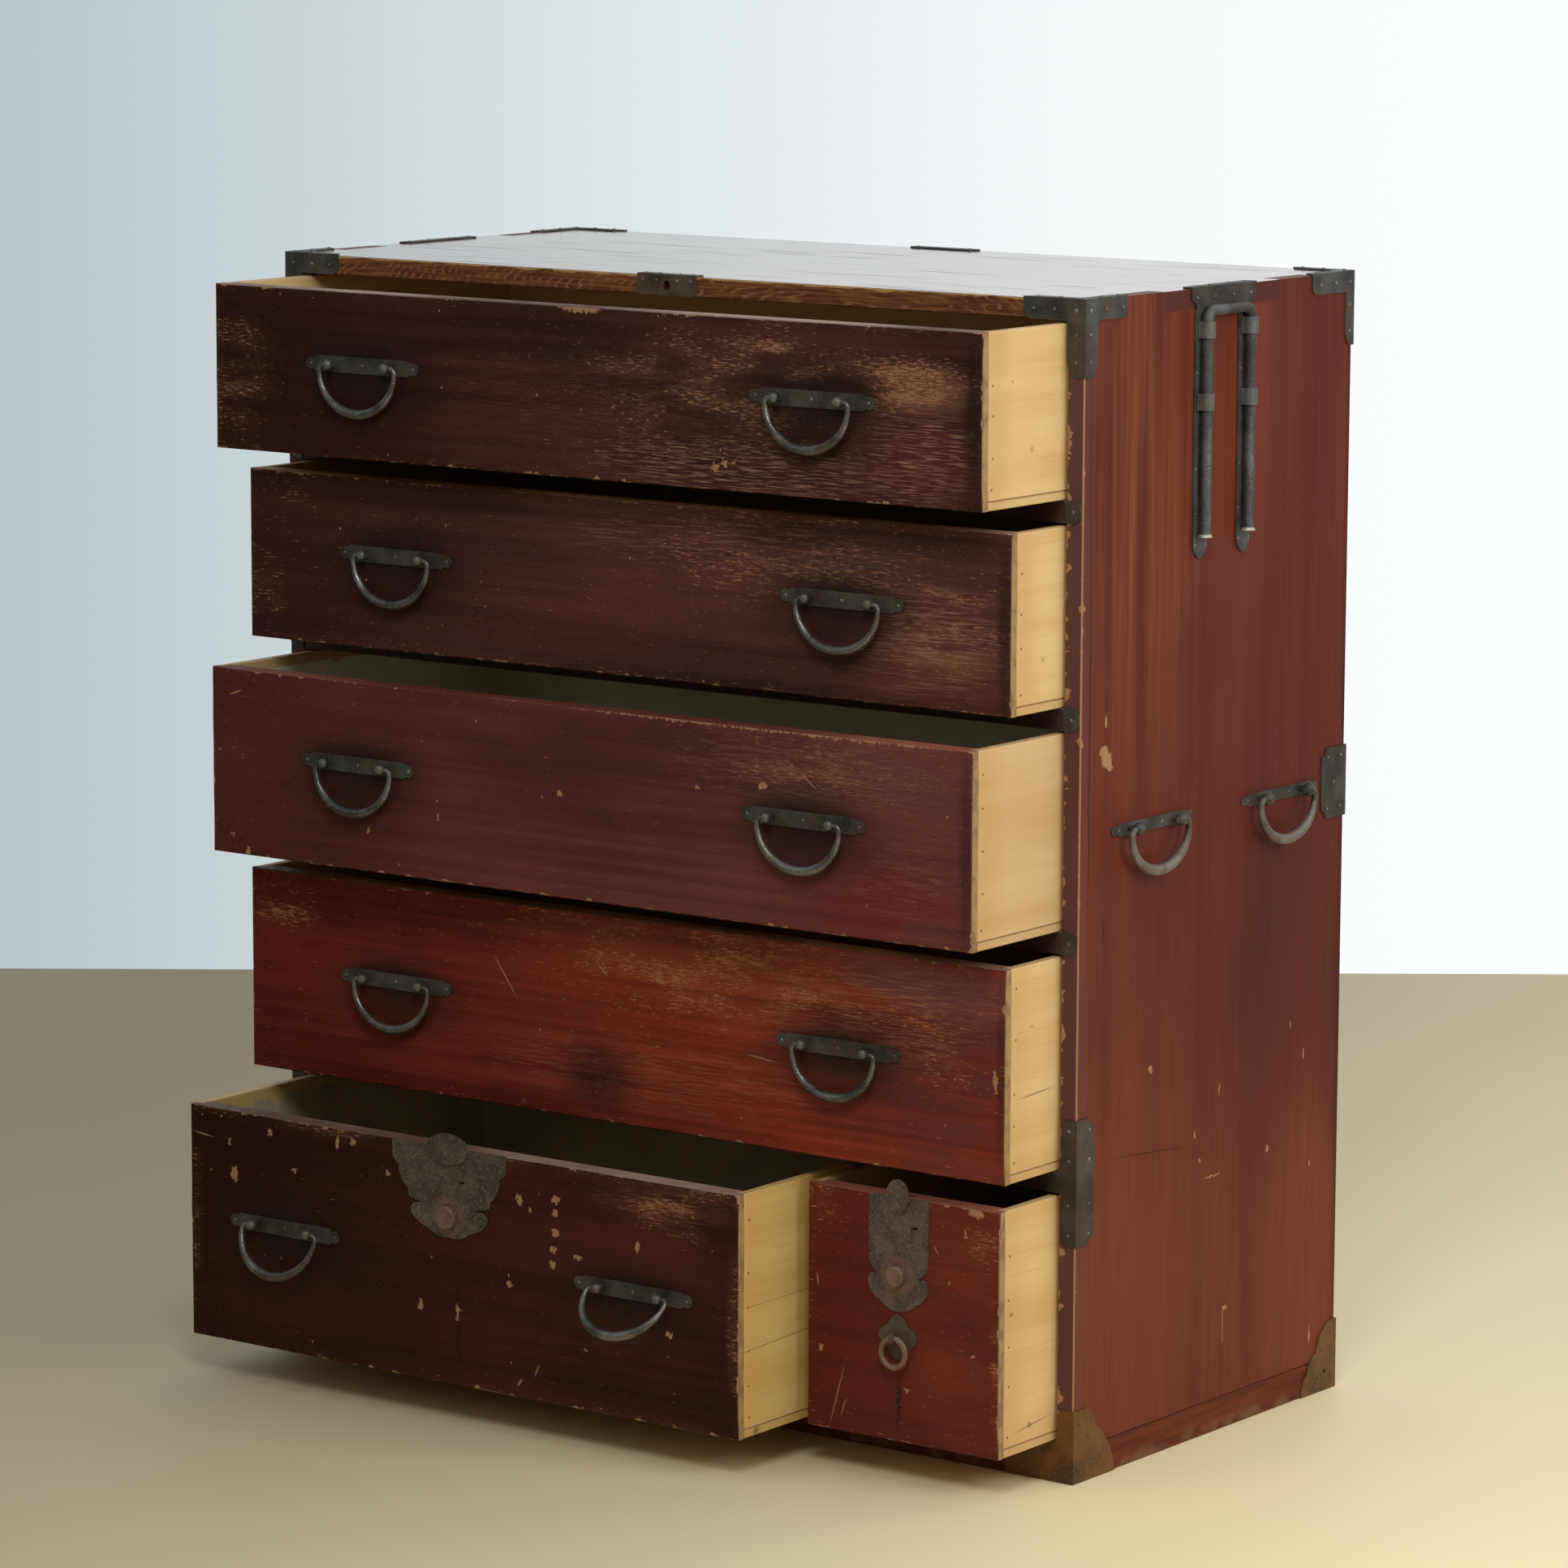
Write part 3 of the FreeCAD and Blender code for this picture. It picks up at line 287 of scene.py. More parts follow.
def side_finish(name, outward, chips, cracks):
    """Upright-grained lacquer; chips are rows as scar takes them, and cracks have their slope too."""
    low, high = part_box("side_panel_right")
    side = Finish(name)
    broad = side.noise((5, 9, 0.8), 3)
    streak = side.noise((45, 80, 1.6), 4)
    fine = side.noise((300, 640, 14), 3)
    cloud = side.noise((3, 3, 3), 2, 4)
    lower = side.step(side.z, 0.42, 0.1)
    redness = side.step(side.total(broad, (0.16, lower)), 0.34, 0.72)
    side.colour = side.mix(redness, oxblood, russet)
    upper = side.spot((0, -0.14, 0.9), (wide, 0.16, 0.36), 0.9)
    orange = side.times(side.step(streak, 0.4, 0.74), side.total(0.12, (0.62, upper)))
    side.paint(rubbed_orange, orange)
    side.paint(oxblood, 0.4, side.step(fine, 0.44, 0.72))
    side.paint(plum, 0.4, side.step(cloud, 0.5, 0.72))
    # Painted shade: a plum darkening over the middle of the side.
    shade = side.spot((0, 0.02, 0.56), (wide, 0.26, 0.38), 0.95)
    side.paint(plum, 0.34, shade)
    grime_and_shade = side.times(0.55, side.step(side.y, high.y - 0.01, high.y - 0.001))
    # Painted shade: a soft dark patch below each bail, taken in with the real grime of the rear edge, the
    # seam and the cracks.
    for centre in bail_centres:
        shade_under_bail = side.spot((0, centre, 0.5), (wide, 0.06, 0.12), 0.95)
        grime_and_shade = side.most(grime_and_shade, (0.15, shade_under_bail))
    side.paint(post_brown, 0.45, side.step(side.y, low.y + 0.02, low.y + 0.002))
    seam = side.spot((0, -0.2055, 0.67), (wide, 0.0014, 0.29), 0.6, place=side.torn(30, 0.002))
    grime_and_shade = side.most(grime_and_shade, (0.7, seam))
    for *row, slope in cracks:
        grime_and_shade = side.most(grime_and_shade, (0.7, side.scar(row, 0.5, slope)))
    side.paint(soot_and_shade, grime_and_shade)
    ragged = side.torn(260, 0.0065)
    wander = side.noise((60, 60, 85), 6, 2)
    outer = side.less(high.x, side.math("ABSOLUTE", side.x))
    front = side.less(side.y, low.y)
    inner = side.less(side.math("ABSOLUTE", side.x), low.x)
    worn_width = side.total(0.0016, (0.007, side.step(wander, 0.58, 0.82)))
    bare = side.step(side.less(worn_width, side.most(outer, front)), 0, 0.0007)
    chipping = side.step(side.noise((60, 60, 110), 6, 6), 0.47, 0.76)
    chip_width = side.total(0.0006, (0.008, chipping))
    inner_chips = side.step(side.less(chip_width, side.most(inner, front)), 0, 0.0007)
    bare = side.most(bare, inner_chips)
    for row in chips:
        bare = side.most(bare, side.scar(row, 0.35, place=ragged))
    post = side.step(side.face_y, -0.5, -0.8)
    side.paint(post_brown, 0.8, post)
    side.paint(bare_wood, 0.85, bare)
    inside = side.step(side.times(side.face_x, outward), -0.4, -0.7)
    side.paint(inside_tan, inside)
    rough = side.total(0.38, (0.14, fine), (0.25, bare))
    height = side.total((0.4, fine), (0.4, streak), (-1.6, bare))
    return side.lay(rough, height, 0.00018, gloss=lacquer_gloss)


right_chips = [
    (-183, 653, 8.5, 6.8), (-178.5, 645.5, 9.8, 8.2), (-173.5, 639, 5.2, 5), (-180, 679, 2, 6.2),
    (-101.8, 356.5, 3.5, 4.5), (27, 113, 5, 2.8), (24, 97, 1, 18), (96, 250.5, 3, 4.5),
    (133, 360, 1.3, 4.8), (157, 330, 1.4, 5.8), (170, 223, 2, 3), (175, 59, 1.5, 11), (13, 319, 1.2, 6),
    (-27, 283.5, 1.3, 5), (-18, 258.6, 2, 3), (2.6, 240.5, 16, 1),
]
right_cracks = [(-101, 280.5, 88, 0.7, -0.08), (-180.5, 492, 1.2, 16, 0), (-180, 696, 1.1, 12, 0)]
left_chips = [
    (-165, 520, 6, 8), (100, 310, 3, 6), (-50, 140, 1.8, 12), (170, 800, 2.5, 5), (-110, 720, 1.4, 7),
    (40, 450, 1.4, 6),
]
left_cracks = [(60, 230, 70, 0.6, 0.06)]
for hand, outward, chips, cracks in (
    ("right", 1, right_chips, right_cracks),
    ("left", -1, left_chips, left_cracks),
):
    finish = side_finish(f"{hand}_side_lacquer", outward, chips, cracks)
    worn_board(f"side_panel_{hand}", f"{hand}_side_board", "side_lacquer", finish, holes=spikes, along=1)


# Top board
# One wide board with its fingers showing on the sides, polished by use and scored by thin scratches.
# Its front edge is orange-brown with slanted paler flecks, and the finger ends are darker end grain.
def top_finish():
    dark, pale, faded = (0.095, 0.03, 0.016), (0.2, 0.075, 0.036), (0.3, 0.16, 0.09)
    scratch_dark, end_grain = (0.035, 0.013, 0.009), (0.088, 0.019, 0.0105)
    edge_dark, edge_pale, edge_streak = (0.12, 0.036, 0.013), (0.24, 0.088, 0.029), (0.075, 0.022, 0.01)
    ray, edge_rub = (0.42, 0.21, 0.09), (0.52, 0.27, 0.1)
    upper_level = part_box("top_board")[1].z
    top = Finish("top_lacquer_polished")
    grain = top.noise((3, 60, 60), 4)
    pores = top.noise((22, 420, 420), 2, 3)
    cloud = top.noise((4, 6, 4), 3, 1)
    top.colour = top.mix(top.step(grain, 0.32, 0.68), dark, pale)
    top.paint(faded, 0.5, top.step(cloud, 0.45, 0.7))
    scores = top.noise((5, 190, 30), 3, 7, (0, 0, 0.06))
    score = top.times(0.8, top.step(scores, 0.63, 0.68))
    rings = top.noise((16, 16, 16), 4, 9)
    blot = top.times(top.step(rings, 0.6, 0.72), 0.6)
    top.paint(scratch_dark, top.most(score, blot))
    edge = top.step(top.face_y, -0.5, -0.8)
    arch_middle, arch_round, arch_slope, ring_turns = 0.2, 0.25, 1.1, 640
    aside = top.less(top.x, arch_middle)
    arch = top.math("SQRT", top.total((aside, aside), arch_round**2))
    ring = top.total((ring_turns, top.z), (ring_turns * arch_slope, arch))
    ring_wander = top.times(26, top.noise((11, 9, 60), 4, 5))
    ring = top.math("SINE", top.total(ring, ring_wander))
    streaks = top.noise((30, 60, 210), 3, 6)
    rays = top.times(top.step(ring, 0.45, 0.96), top.step(streaks, 0.44, 0.6))
    orange = top.mix(top.step(pores, 0.35, 0.65), edge_dark, edge_pale)
    orange = top.mix(top.times(0.5, top.step(streaks, 0.52, 0.7)), orange, edge_streak)
    orange = top.mix(top.times(0.55, rays), orange, ray)
    above = top.less(upper_level, top.z)
    wander = top.noise((40, 40, 40), 3, 2)
    rubbed = top.step(top.less((wander, 0.008), above), 0.0016, 0.003)
    orange = top.mix(rubbed, orange, edge_rub)
    top.paint(orange, edge)
    ends = top.step(top.math("ABSOLUTE", top.face_x), 0.5, 0.8)
    top.paint(end_grain, ends)
    polished = top.step(top.face_z, 0.5, 0.8)
    rough = top.total(0.45, (-0.25, polished), (0.14, pores), (0.25, score))
    height = top.times(polished, top.total(grain, (0.6, pores), (-2.2, score)))
    sheen = top.times(0.9, polished, top.total(1, (-0.8, score)))
    return top.lay(rough, height, 0.00018, gloss=0.2, coat=sheen)


worn_board("top_board", "polished_top_board", "top_lacquer", top_finish(), holes=(0,))


# Base frame
# Low sills half-lapped at the corners carry the sides; a bearer runs under the middle of the bottom.
# They are stained like the sides, scuffed near the floor, and hidden at the corners by the base irons.
def base_finish():
    dark, red, scuffed = (0.094, 0.0155, 0.007), (0.168, 0.033, 0.011), (0.2, 0.105, 0.055)
    base = Finish("base_lacquer_scuffed")
    along = base.noise((9, 9, 150), 4)
    scuff = base.noise((35, 35, 35), 4, 3)
    base.colour = base.mix(base.step(along, 0.3, 0.7), dark, red)
    near_floor = base.step(base.z, 0.016, 0.002)
    worn = base.times(near_floor, base.step(scuff, 0.42, 0.62))
    base.paint(scuffed, 0.8, worn)
    rough = base.total(0.42, (0.3, worn))
    return base.lay(rough, base.total(along, (-1, worn)), 0.00025, gloss=lacquer_gloss)


worn_board("base_frame", "base_sills", "side_lacquer", base_finish())


# Dividers, partition, bottom and back
# Bare softwood inside the chest, browned by age, with the front edges of the rails stained dark.
# The rails are housed in the sides, the back boards lie in rabbets and are nailed from behind.
def carcass_finish(name, along):
    """Aged bare wood, its grain along X or along Y."""
    aged, pale, shadow = (0.19, 0.095, 0.04), (0.36, 0.205, 0.095), (0.12, 0.06, 0.03)
    stained = (0.06, 0.022, 0.0165)
    wood = Finish(name)
    waves = {"x": (1.6, 60, 130), "y": (60, 1.6, 130)}[along]
    grain = wood.noise(waves, 4)
    cloud = wood.noise((5, 5, 5), 3, 2)
    wood.colour = wood.mix(wood.step(grain, 0.3, 0.7), aged, pale)
    wood.paint(shadow, 0.6, wood.step(cloud, 0.4, 0.75))
    front = wood.times(wood.step(wood.face_y, -0.5, -0.8), wood.step(wood.y, -0.2165, -0.2185))
    wood.paint(stained, front)
    rough = wood.total(0.55, (0.2, grain))
    return wood.lay(rough, grain, 0.00025)


cross_wood = carcass_finish("carcass_wood_across", "x")
deep_wood = carcass_finish("carcass_wood_deep", "y")
# X places of each lock's button and keyhole
lock_bores = {5: (-0.11775, -0.10075), 6: (0.32675, 0.34175)}
strikes = {4: (lock_bores[5][0], lock_bores[6][0])}
rail_arris = 0.0008
for number in range(1, 5):
    rail = (f"divider_{number}", f"divider_rail_{number}", "carcass_wood", cross_wood)
    worn_board(*rail, rail_arris, holes=strikes.get(number, ()))
worn_board("bottom_partition", "upright_partition", "carcass_wood", deep_wood, rail_arris)
worn_board("bottom_board", "chest_bottom", "carcass_wood", cross_wood, rail_arris)


def back_finish():
    aged, pale = (0.2, 0.105, 0.048), (0.4, 0.24, 0.115)
    dark_grain, grey = (0.15, 0.075, 0.036), (0.14, 0.085, 0.05)
    back = Finish("back_board_wood")
    grain = back.noise((1.4, 40, 75), 5)
    fine = back.noise((9, 200, 420), 3, 6)
    cloud = back.noise((4, 4, 6), 3, 2)
    back.colour = back.mix(back.step(grain, 0.3, 0.7), aged, pale)
    back.paint(dark_grain, 0.5, back.step(fine, 0.5, 0.75))
    back.paint(grey, 0.55, back.step(cloud, 0.45, 0.75))
    rough = back.total(0.6, (0.2, fine))
    return back.lay(rough, back.total(grain, fine), 0.0003)


worn_board("back_boards", "nailed_back_boards", "carcass_wood", back_finish(), arris=0.0009)


# Irons of the carcass
# Sheet-iron straps folded over the corners and edges, blackened, and held by small domed nails.
# The corners of the base have rusted brown; the others are dark grey, with pale rubbed points.
def iron_finish(name, dark, pale, rust, rusty, metal=0.55, rim=None, heads=None, collars=None, rough=0.38):
    """Pitted iron with rust; it is pale below the level rim and outside collars, and paler in front of
    heads, as rubbed iron with a painted highlight.
    """
    pit_black, rim_pale = (0.012, 0.011, 0.01), (0.52, 0.46, 0.36)
    head_rub_and_highlight, collar_pale = (0.34, 0.325, 0.3), (0.235, 0.225, 0.205)
    iron = Finish(name)
    cloud = iron.noise((40, 40, 40), 4)
    speck = iron.noise((420, 420, 420), 3, 2)
    stain = iron.noise((26, 26, 26), 4, 8)
    pit = iron.step(iron.pits((520, 520, 520)), 0.16, 0.42)
    iron.colour = iron.mix(iron.step(cloud, 0.35, 0.68), dark, pale)
    iron.paint(pale, 0.6, iron.step(speck, 0.54, 0.68))
    rust_share = iron.times(iron.step(iron.total(stain, (0.4, speck)), 0.62, 0.84), rusty)
    iron.paint(rust, rust_share)
    iron.paint(pit_black, 0.5, iron.step(pit, 0.6, 0.1))
    if rim:
        iron.paint(rim_pale, iron.step(iron.z, rim + 0.0006, rim))
    if heads:
        # Paler tips in front of the heads: rubbed iron with a painted highlight.
        iron.paint(head_rub_and_highlight, 0.35, iron.step(iron.y, heads + 0.002, heads))
    if collars:
        outside = iron.step(iron.math("ABSOLUTE", iron.x), collars, collars + 0.0015)
        iron.paint(collar_pale, 0.45, outside)
    rough = iron.total(rough, (0.22, speck), (0.2, rust_share))
    height = iron.total(pit, (0.7, cloud), (0.5, speck))
    return iron.lay(rough, height, 0.00022, metal=metal)


dull_rust = (0.11, 0.066, 0.04)
black_tones = ((0.048, 0.049, 0.044), (0.118, 0.116, 0.104), dull_rust)
black_iron = iron_finish("black_iron", *black_tones, rusty=0.5)
brown_tones = ((0.076, 0.036, 0.009), (0.182, 0.084, 0.018), (0.2, 0.08, 0.017))
base_iron = iron_finish("base_brown_iron", *brown_tones, rusty=0.8, metal=0.3)
nail_tones = ((0.1, 0.095, 0.085), (0.3, 0.285, 0.26), (0.16, 0.1, 0.06))
nail_iron = iron_finish("nail_iron", *nail_tones, rusty=0.25, metal=0.6)
olive_tones = ((0.07, 0.056, 0.04), (0.15, 0.122, 0.088), (0.15, 0.085, 0.045))
olive_iron = iron_finish("olive_iron", *olive_tones, rusty=0.6)
edge_plate_tones = ((0.036, 0.033, 0.028), (0.088, 0.081, 0.07), (0.08, 0.05, 0.032))
edge_iron = iron_finish("edge_plate_iron", *edge_plate_tones, rusty=0.5)


def dress(node, finish):
    """Gives a CAD node its finish as it stands."""
    frame["nodes"][node].material_slots[0].material = finish


for node in ("top_corner_irons", "divider_end_tabs", "top_lock_bolt"):
    dress(node, black_iron)
dress("edge_irons", edge_iron)
dress("top_lock_plate", olive_iron)
dress("base_corner_irons", base_iron)


def nail_heads(name, body, slot, finish, places, radius=0.0021, rise=0.0011):
    """Small domed heads; each place is x, y and z on a surface and the way that it faces."""
    heads = bmesh.new()
    for *point, way in places:
        turn = Vector((0, 0, 1)).rotation_difference(Vector(way)).to_matrix().to_4x4()
        seat = Matrix.Translation(point) @ turn @ Matrix.Diagonal((radius, radius, rise, 1))
        bmesh.ops.create_uvsphere(heads, u_segments=8, v_segments=6, radius=1.0, matrix=seat)
    for face in heads.faces:
        face.smooth = True
    show(heads, name, body, slot, finish)


iron_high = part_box("top_corner_irons")[1]
iron_front, iron_rear, iron_top = (0, -1, 0), (0, 1, 0), (0, 0, 1)


def on_corners(front_places, side_places, top_places=()):
    """Nails of the four corners, from distances in and up or down at the front right corner."""
    places = []
    for right in (1, -1):
        for front in (-1, 1):
            for inward, level in front_places:
                places.append((right * (iron_high.x - inward), front * iron_high.y, level, (0, front, 0)))
            for inward, level in side_places:
                places.append((right * iron_high.x, front * (iron_high.y - inward), level, (right, 0, 0)))
            for across, deep in top_places:
                x, y = right * (iron_high.x - across), front * (iron_high.y - deep)
                places.append((x, y, iron_high.z, iron_top))
    return places


top_band = iron_high.z - 0.0105
leg_levels = (1.02, 0.996)
top_front_nails = [(inward, top_band) for inward in (0.01, 0.033, 0.055)]
top_front_nails += [(0.01, level) for level in leg_levels]
top_side_nails = [(inward, top_band) for inward in (0.008, 0.032, 0.058)]
top_side_nails += [(0.008, level) for level in leg_levels]
top_flange_nails = [(0.007, 0.007), (0.03, 0.006), (0.053, 0.005), (0.006, 0.032), (0.005, 0.058)]
top_nails = on_corners(top_front_nails, top_side_nails, top_flange_nails)
nail_heads("top_corner_nails", "carcass", "iron", nail_iron, top_nails)
base_front_nails = [(0.008, 0.012), (0.03, 0.012), (0.056, 0.01), (0.008, 0.05)]
base_side_nails = [(0.008, 0.012), (0.03, 0.014), (0.05, 0.01), (0.01, 0.054), (0.024, 0.04)]
base_nails = on_corners(base_front_nails, base_side_nails)
nail_heads("base_corner_nails", "carcass", "brown_iron", base_iron, base_nails)

post_strap_y, post_strap_x, tab_x = -0.201, 0.4475, 0.445
fold_level, lock_level, flange_inset = 1.0415, 1.0455, 0.006
edge_nails = []
for right in (1, -1):
    outward = (right, 0, 0)
    side_face = right * iron_high.x
    for level in (0.225, 0.252, 0.292, 0.319):
        edge_nails.append((side_face, post_strap_y, level, outward))
        edge_nails.append((right * post_strap_x, -iron_high.y, level, iron_front))
    for inward, level in ((0.01, 0.603), (0.032, 0.603), (0.021, 0.579), (0.01, 0.555), (0.032, 0.555)):
        edge_nails.append((side_face, iron_high.y - inward, level, outward))
    for along in (-0.044, -0.015, 0.015, 0.044):
        edge_nails.append((side_face, along, fold_level, outward))
        edge_nails.append((right * (iron_high.x - flange_inset), along, iron_high.z, iron_top))
    for level in (0.486, 0.684, 0.866):
        edge_nails.append((right * tab_x, -iron_high.y, level, iron_front))
for along in (-0.03, 0.03):
    edge_nails.append((along, iron_high.y - flange_inset, iron_high.z, iron_top))
    edge_nails.append((along, iron_high.y, fold_level, iron_rear))
for along in (-0.027, -0.012, 0.012, 0.027):
    edge_nails.append((along, -iron_high.y, lock_level, iron_front))
    edge_nails.append((along, flange_inset - iron_high.y, iron_high.z, iron_top))
nail_heads("edge_iron_nails", "carcass", "iron", nail_iron, edge_nails, radius=0.0018, rise=0.001)

back_low, back_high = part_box("back_boards")
back_nails = []
nail_rows, end_inset = 14, 0.006
for row in range(nail_rows):
    level = back_low.z + (back_high.z - back_low.z) * (row + 0.5) / nail_rows
    for along in (back_low.x + end_inset, 0, back_high.x - end_inset):
        back_nails.append((along, back_high.y, level, iron_rear))
nail_heads("back_board_nails", "carcass", "brown_iron", base_iron, back_nails, radius=0.0022, rise=0.0006)


# Carrying handles and side pulls
# Each side has a bent iron rod that slides up through bands on two pointed straps, for a carrying pole,
# and two forged bails hung from ball-headed spikes over narrow plates. Hands have rubbed the bails pale.
def forged(node, name, finish):
    """A CAD bail or rod with its facets smoothed and the slight unevenness of hammered iron."""
    dents, dent_waves, sharp_angle = 0.00018, 110, 0.9
    body = frame["nodes"][node]["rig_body"]
    bar = bmesh.new()
    bar.from_mesh(frame["nodes"][node].data)
    bmesh.ops.remove_doubles(bar, verts=bar.verts, dist=weld)
    bar.normal_update()
    shifts = [vertex.normal * dents * noise.noise(vertex.co * dent_waves) for vertex in bar.verts]
    for vertex, shift in zip(bar.verts, shifts):
        vertex.co += shift
    for face in bar.faces:
        face.smooth = True
    for edge in bar.edges:
        edge.smooth = not (edge.is_manifold and edge.calc_face_angle() > sharp_angle)
    show(bar, name, body, "iron", finish, node)


rubbed_tones = ((0.085, 0.08, 0.072), (0.25, 0.23, 0.205), (0.16, 0.098, 0.06))
rubbed_iron = iron_finish("rubbed_iron", *rubbed_tones, rusty=0.5, metal=0.5)
dress("side_pull_mounts", black_iron)
band_level = 0.457
strap_tones = ((0.046, 0.047, 0.043), (0.112, 0.11, 0.1), dull_rust)
strap_iron = iron_finish("pole_strap_iron", *strap_tones, rusty=0.5, collars=band_level)
dress("pole_handle_mounts", strap_iron)
rim_height = 0.0022
foot_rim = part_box("pole_handle_right")[0].z + rim_height
rod_tones = ((0.05, 0.051, 0.05), (0.13, 0.129, 0.124), (0.1, 0.066, 0.045))
rod_iron = iron_finish("pole_rod_iron", *rod_tones, rusty=0.4, metal=0.6, rim=foot_rim)
plate_face, plate_level = 0.4559, 0.58
strap_face, strap_half = 0.4565, 0.0085
side_nails = []
for side, right in (("right", 1), ("left", -1)):
    outward = (right, 0, 0)
    forged(f"pole_handle_{side}", f"{side}_pole_rod", rod_iron)
    for end in ("front", "rear"):
        forged(f"side_bail_{side}_{end}", f"{side}_{end}_bail", rubbed_iron)
    for centre in bail_centres:
        for along in (-0.054, -0.016, 0.016, 0.054):
            side_nails.append((right * plate_face, centre + along, plate_level, outward))
    for leg in (-0.0355, 0.0355):
        for level in (0.822, 0.85, 0.89, 0.975):
            side_nails.append((right * strap_face, leg + strap_half, level, outward))
            side_nails.append((right * strap_face, leg - strap_half, level, outward))
nail_heads("side_pull_nails", "carcass", "iron", nail_iron, side_nails, radius=0.0014, rise=0.0007)


# Drawer fronts
# Six softwood boards rebated over their boxes and lacquered oxblood; the upper ones have browned.
# Use has worn the lacquer to tan dashes along the grain, darkened it round the pulls and chipped it.
class Lacquer(Finish):
    """Front lacquer of one drawer."""

    def __init__(self, number):
        super().__init__(f"drawer_{number}_lacquer")
        self.low, self.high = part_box(f"drawer_{number}_front")
        self.ragged = self.torn(300, 0.0105)

    def mark(self, oval, soft, slope=0, place=None):
        """An oval as (x, drop below the top edge, half width, half height) in millimetres."""
        x, drop, half_width, half_height = (mm * part for part in oval)
        centre = (x, 0, self.high.z - drop)
        return self.spot(centre, (half_width, wide, half_height), soft, (0, slope, 0), place)


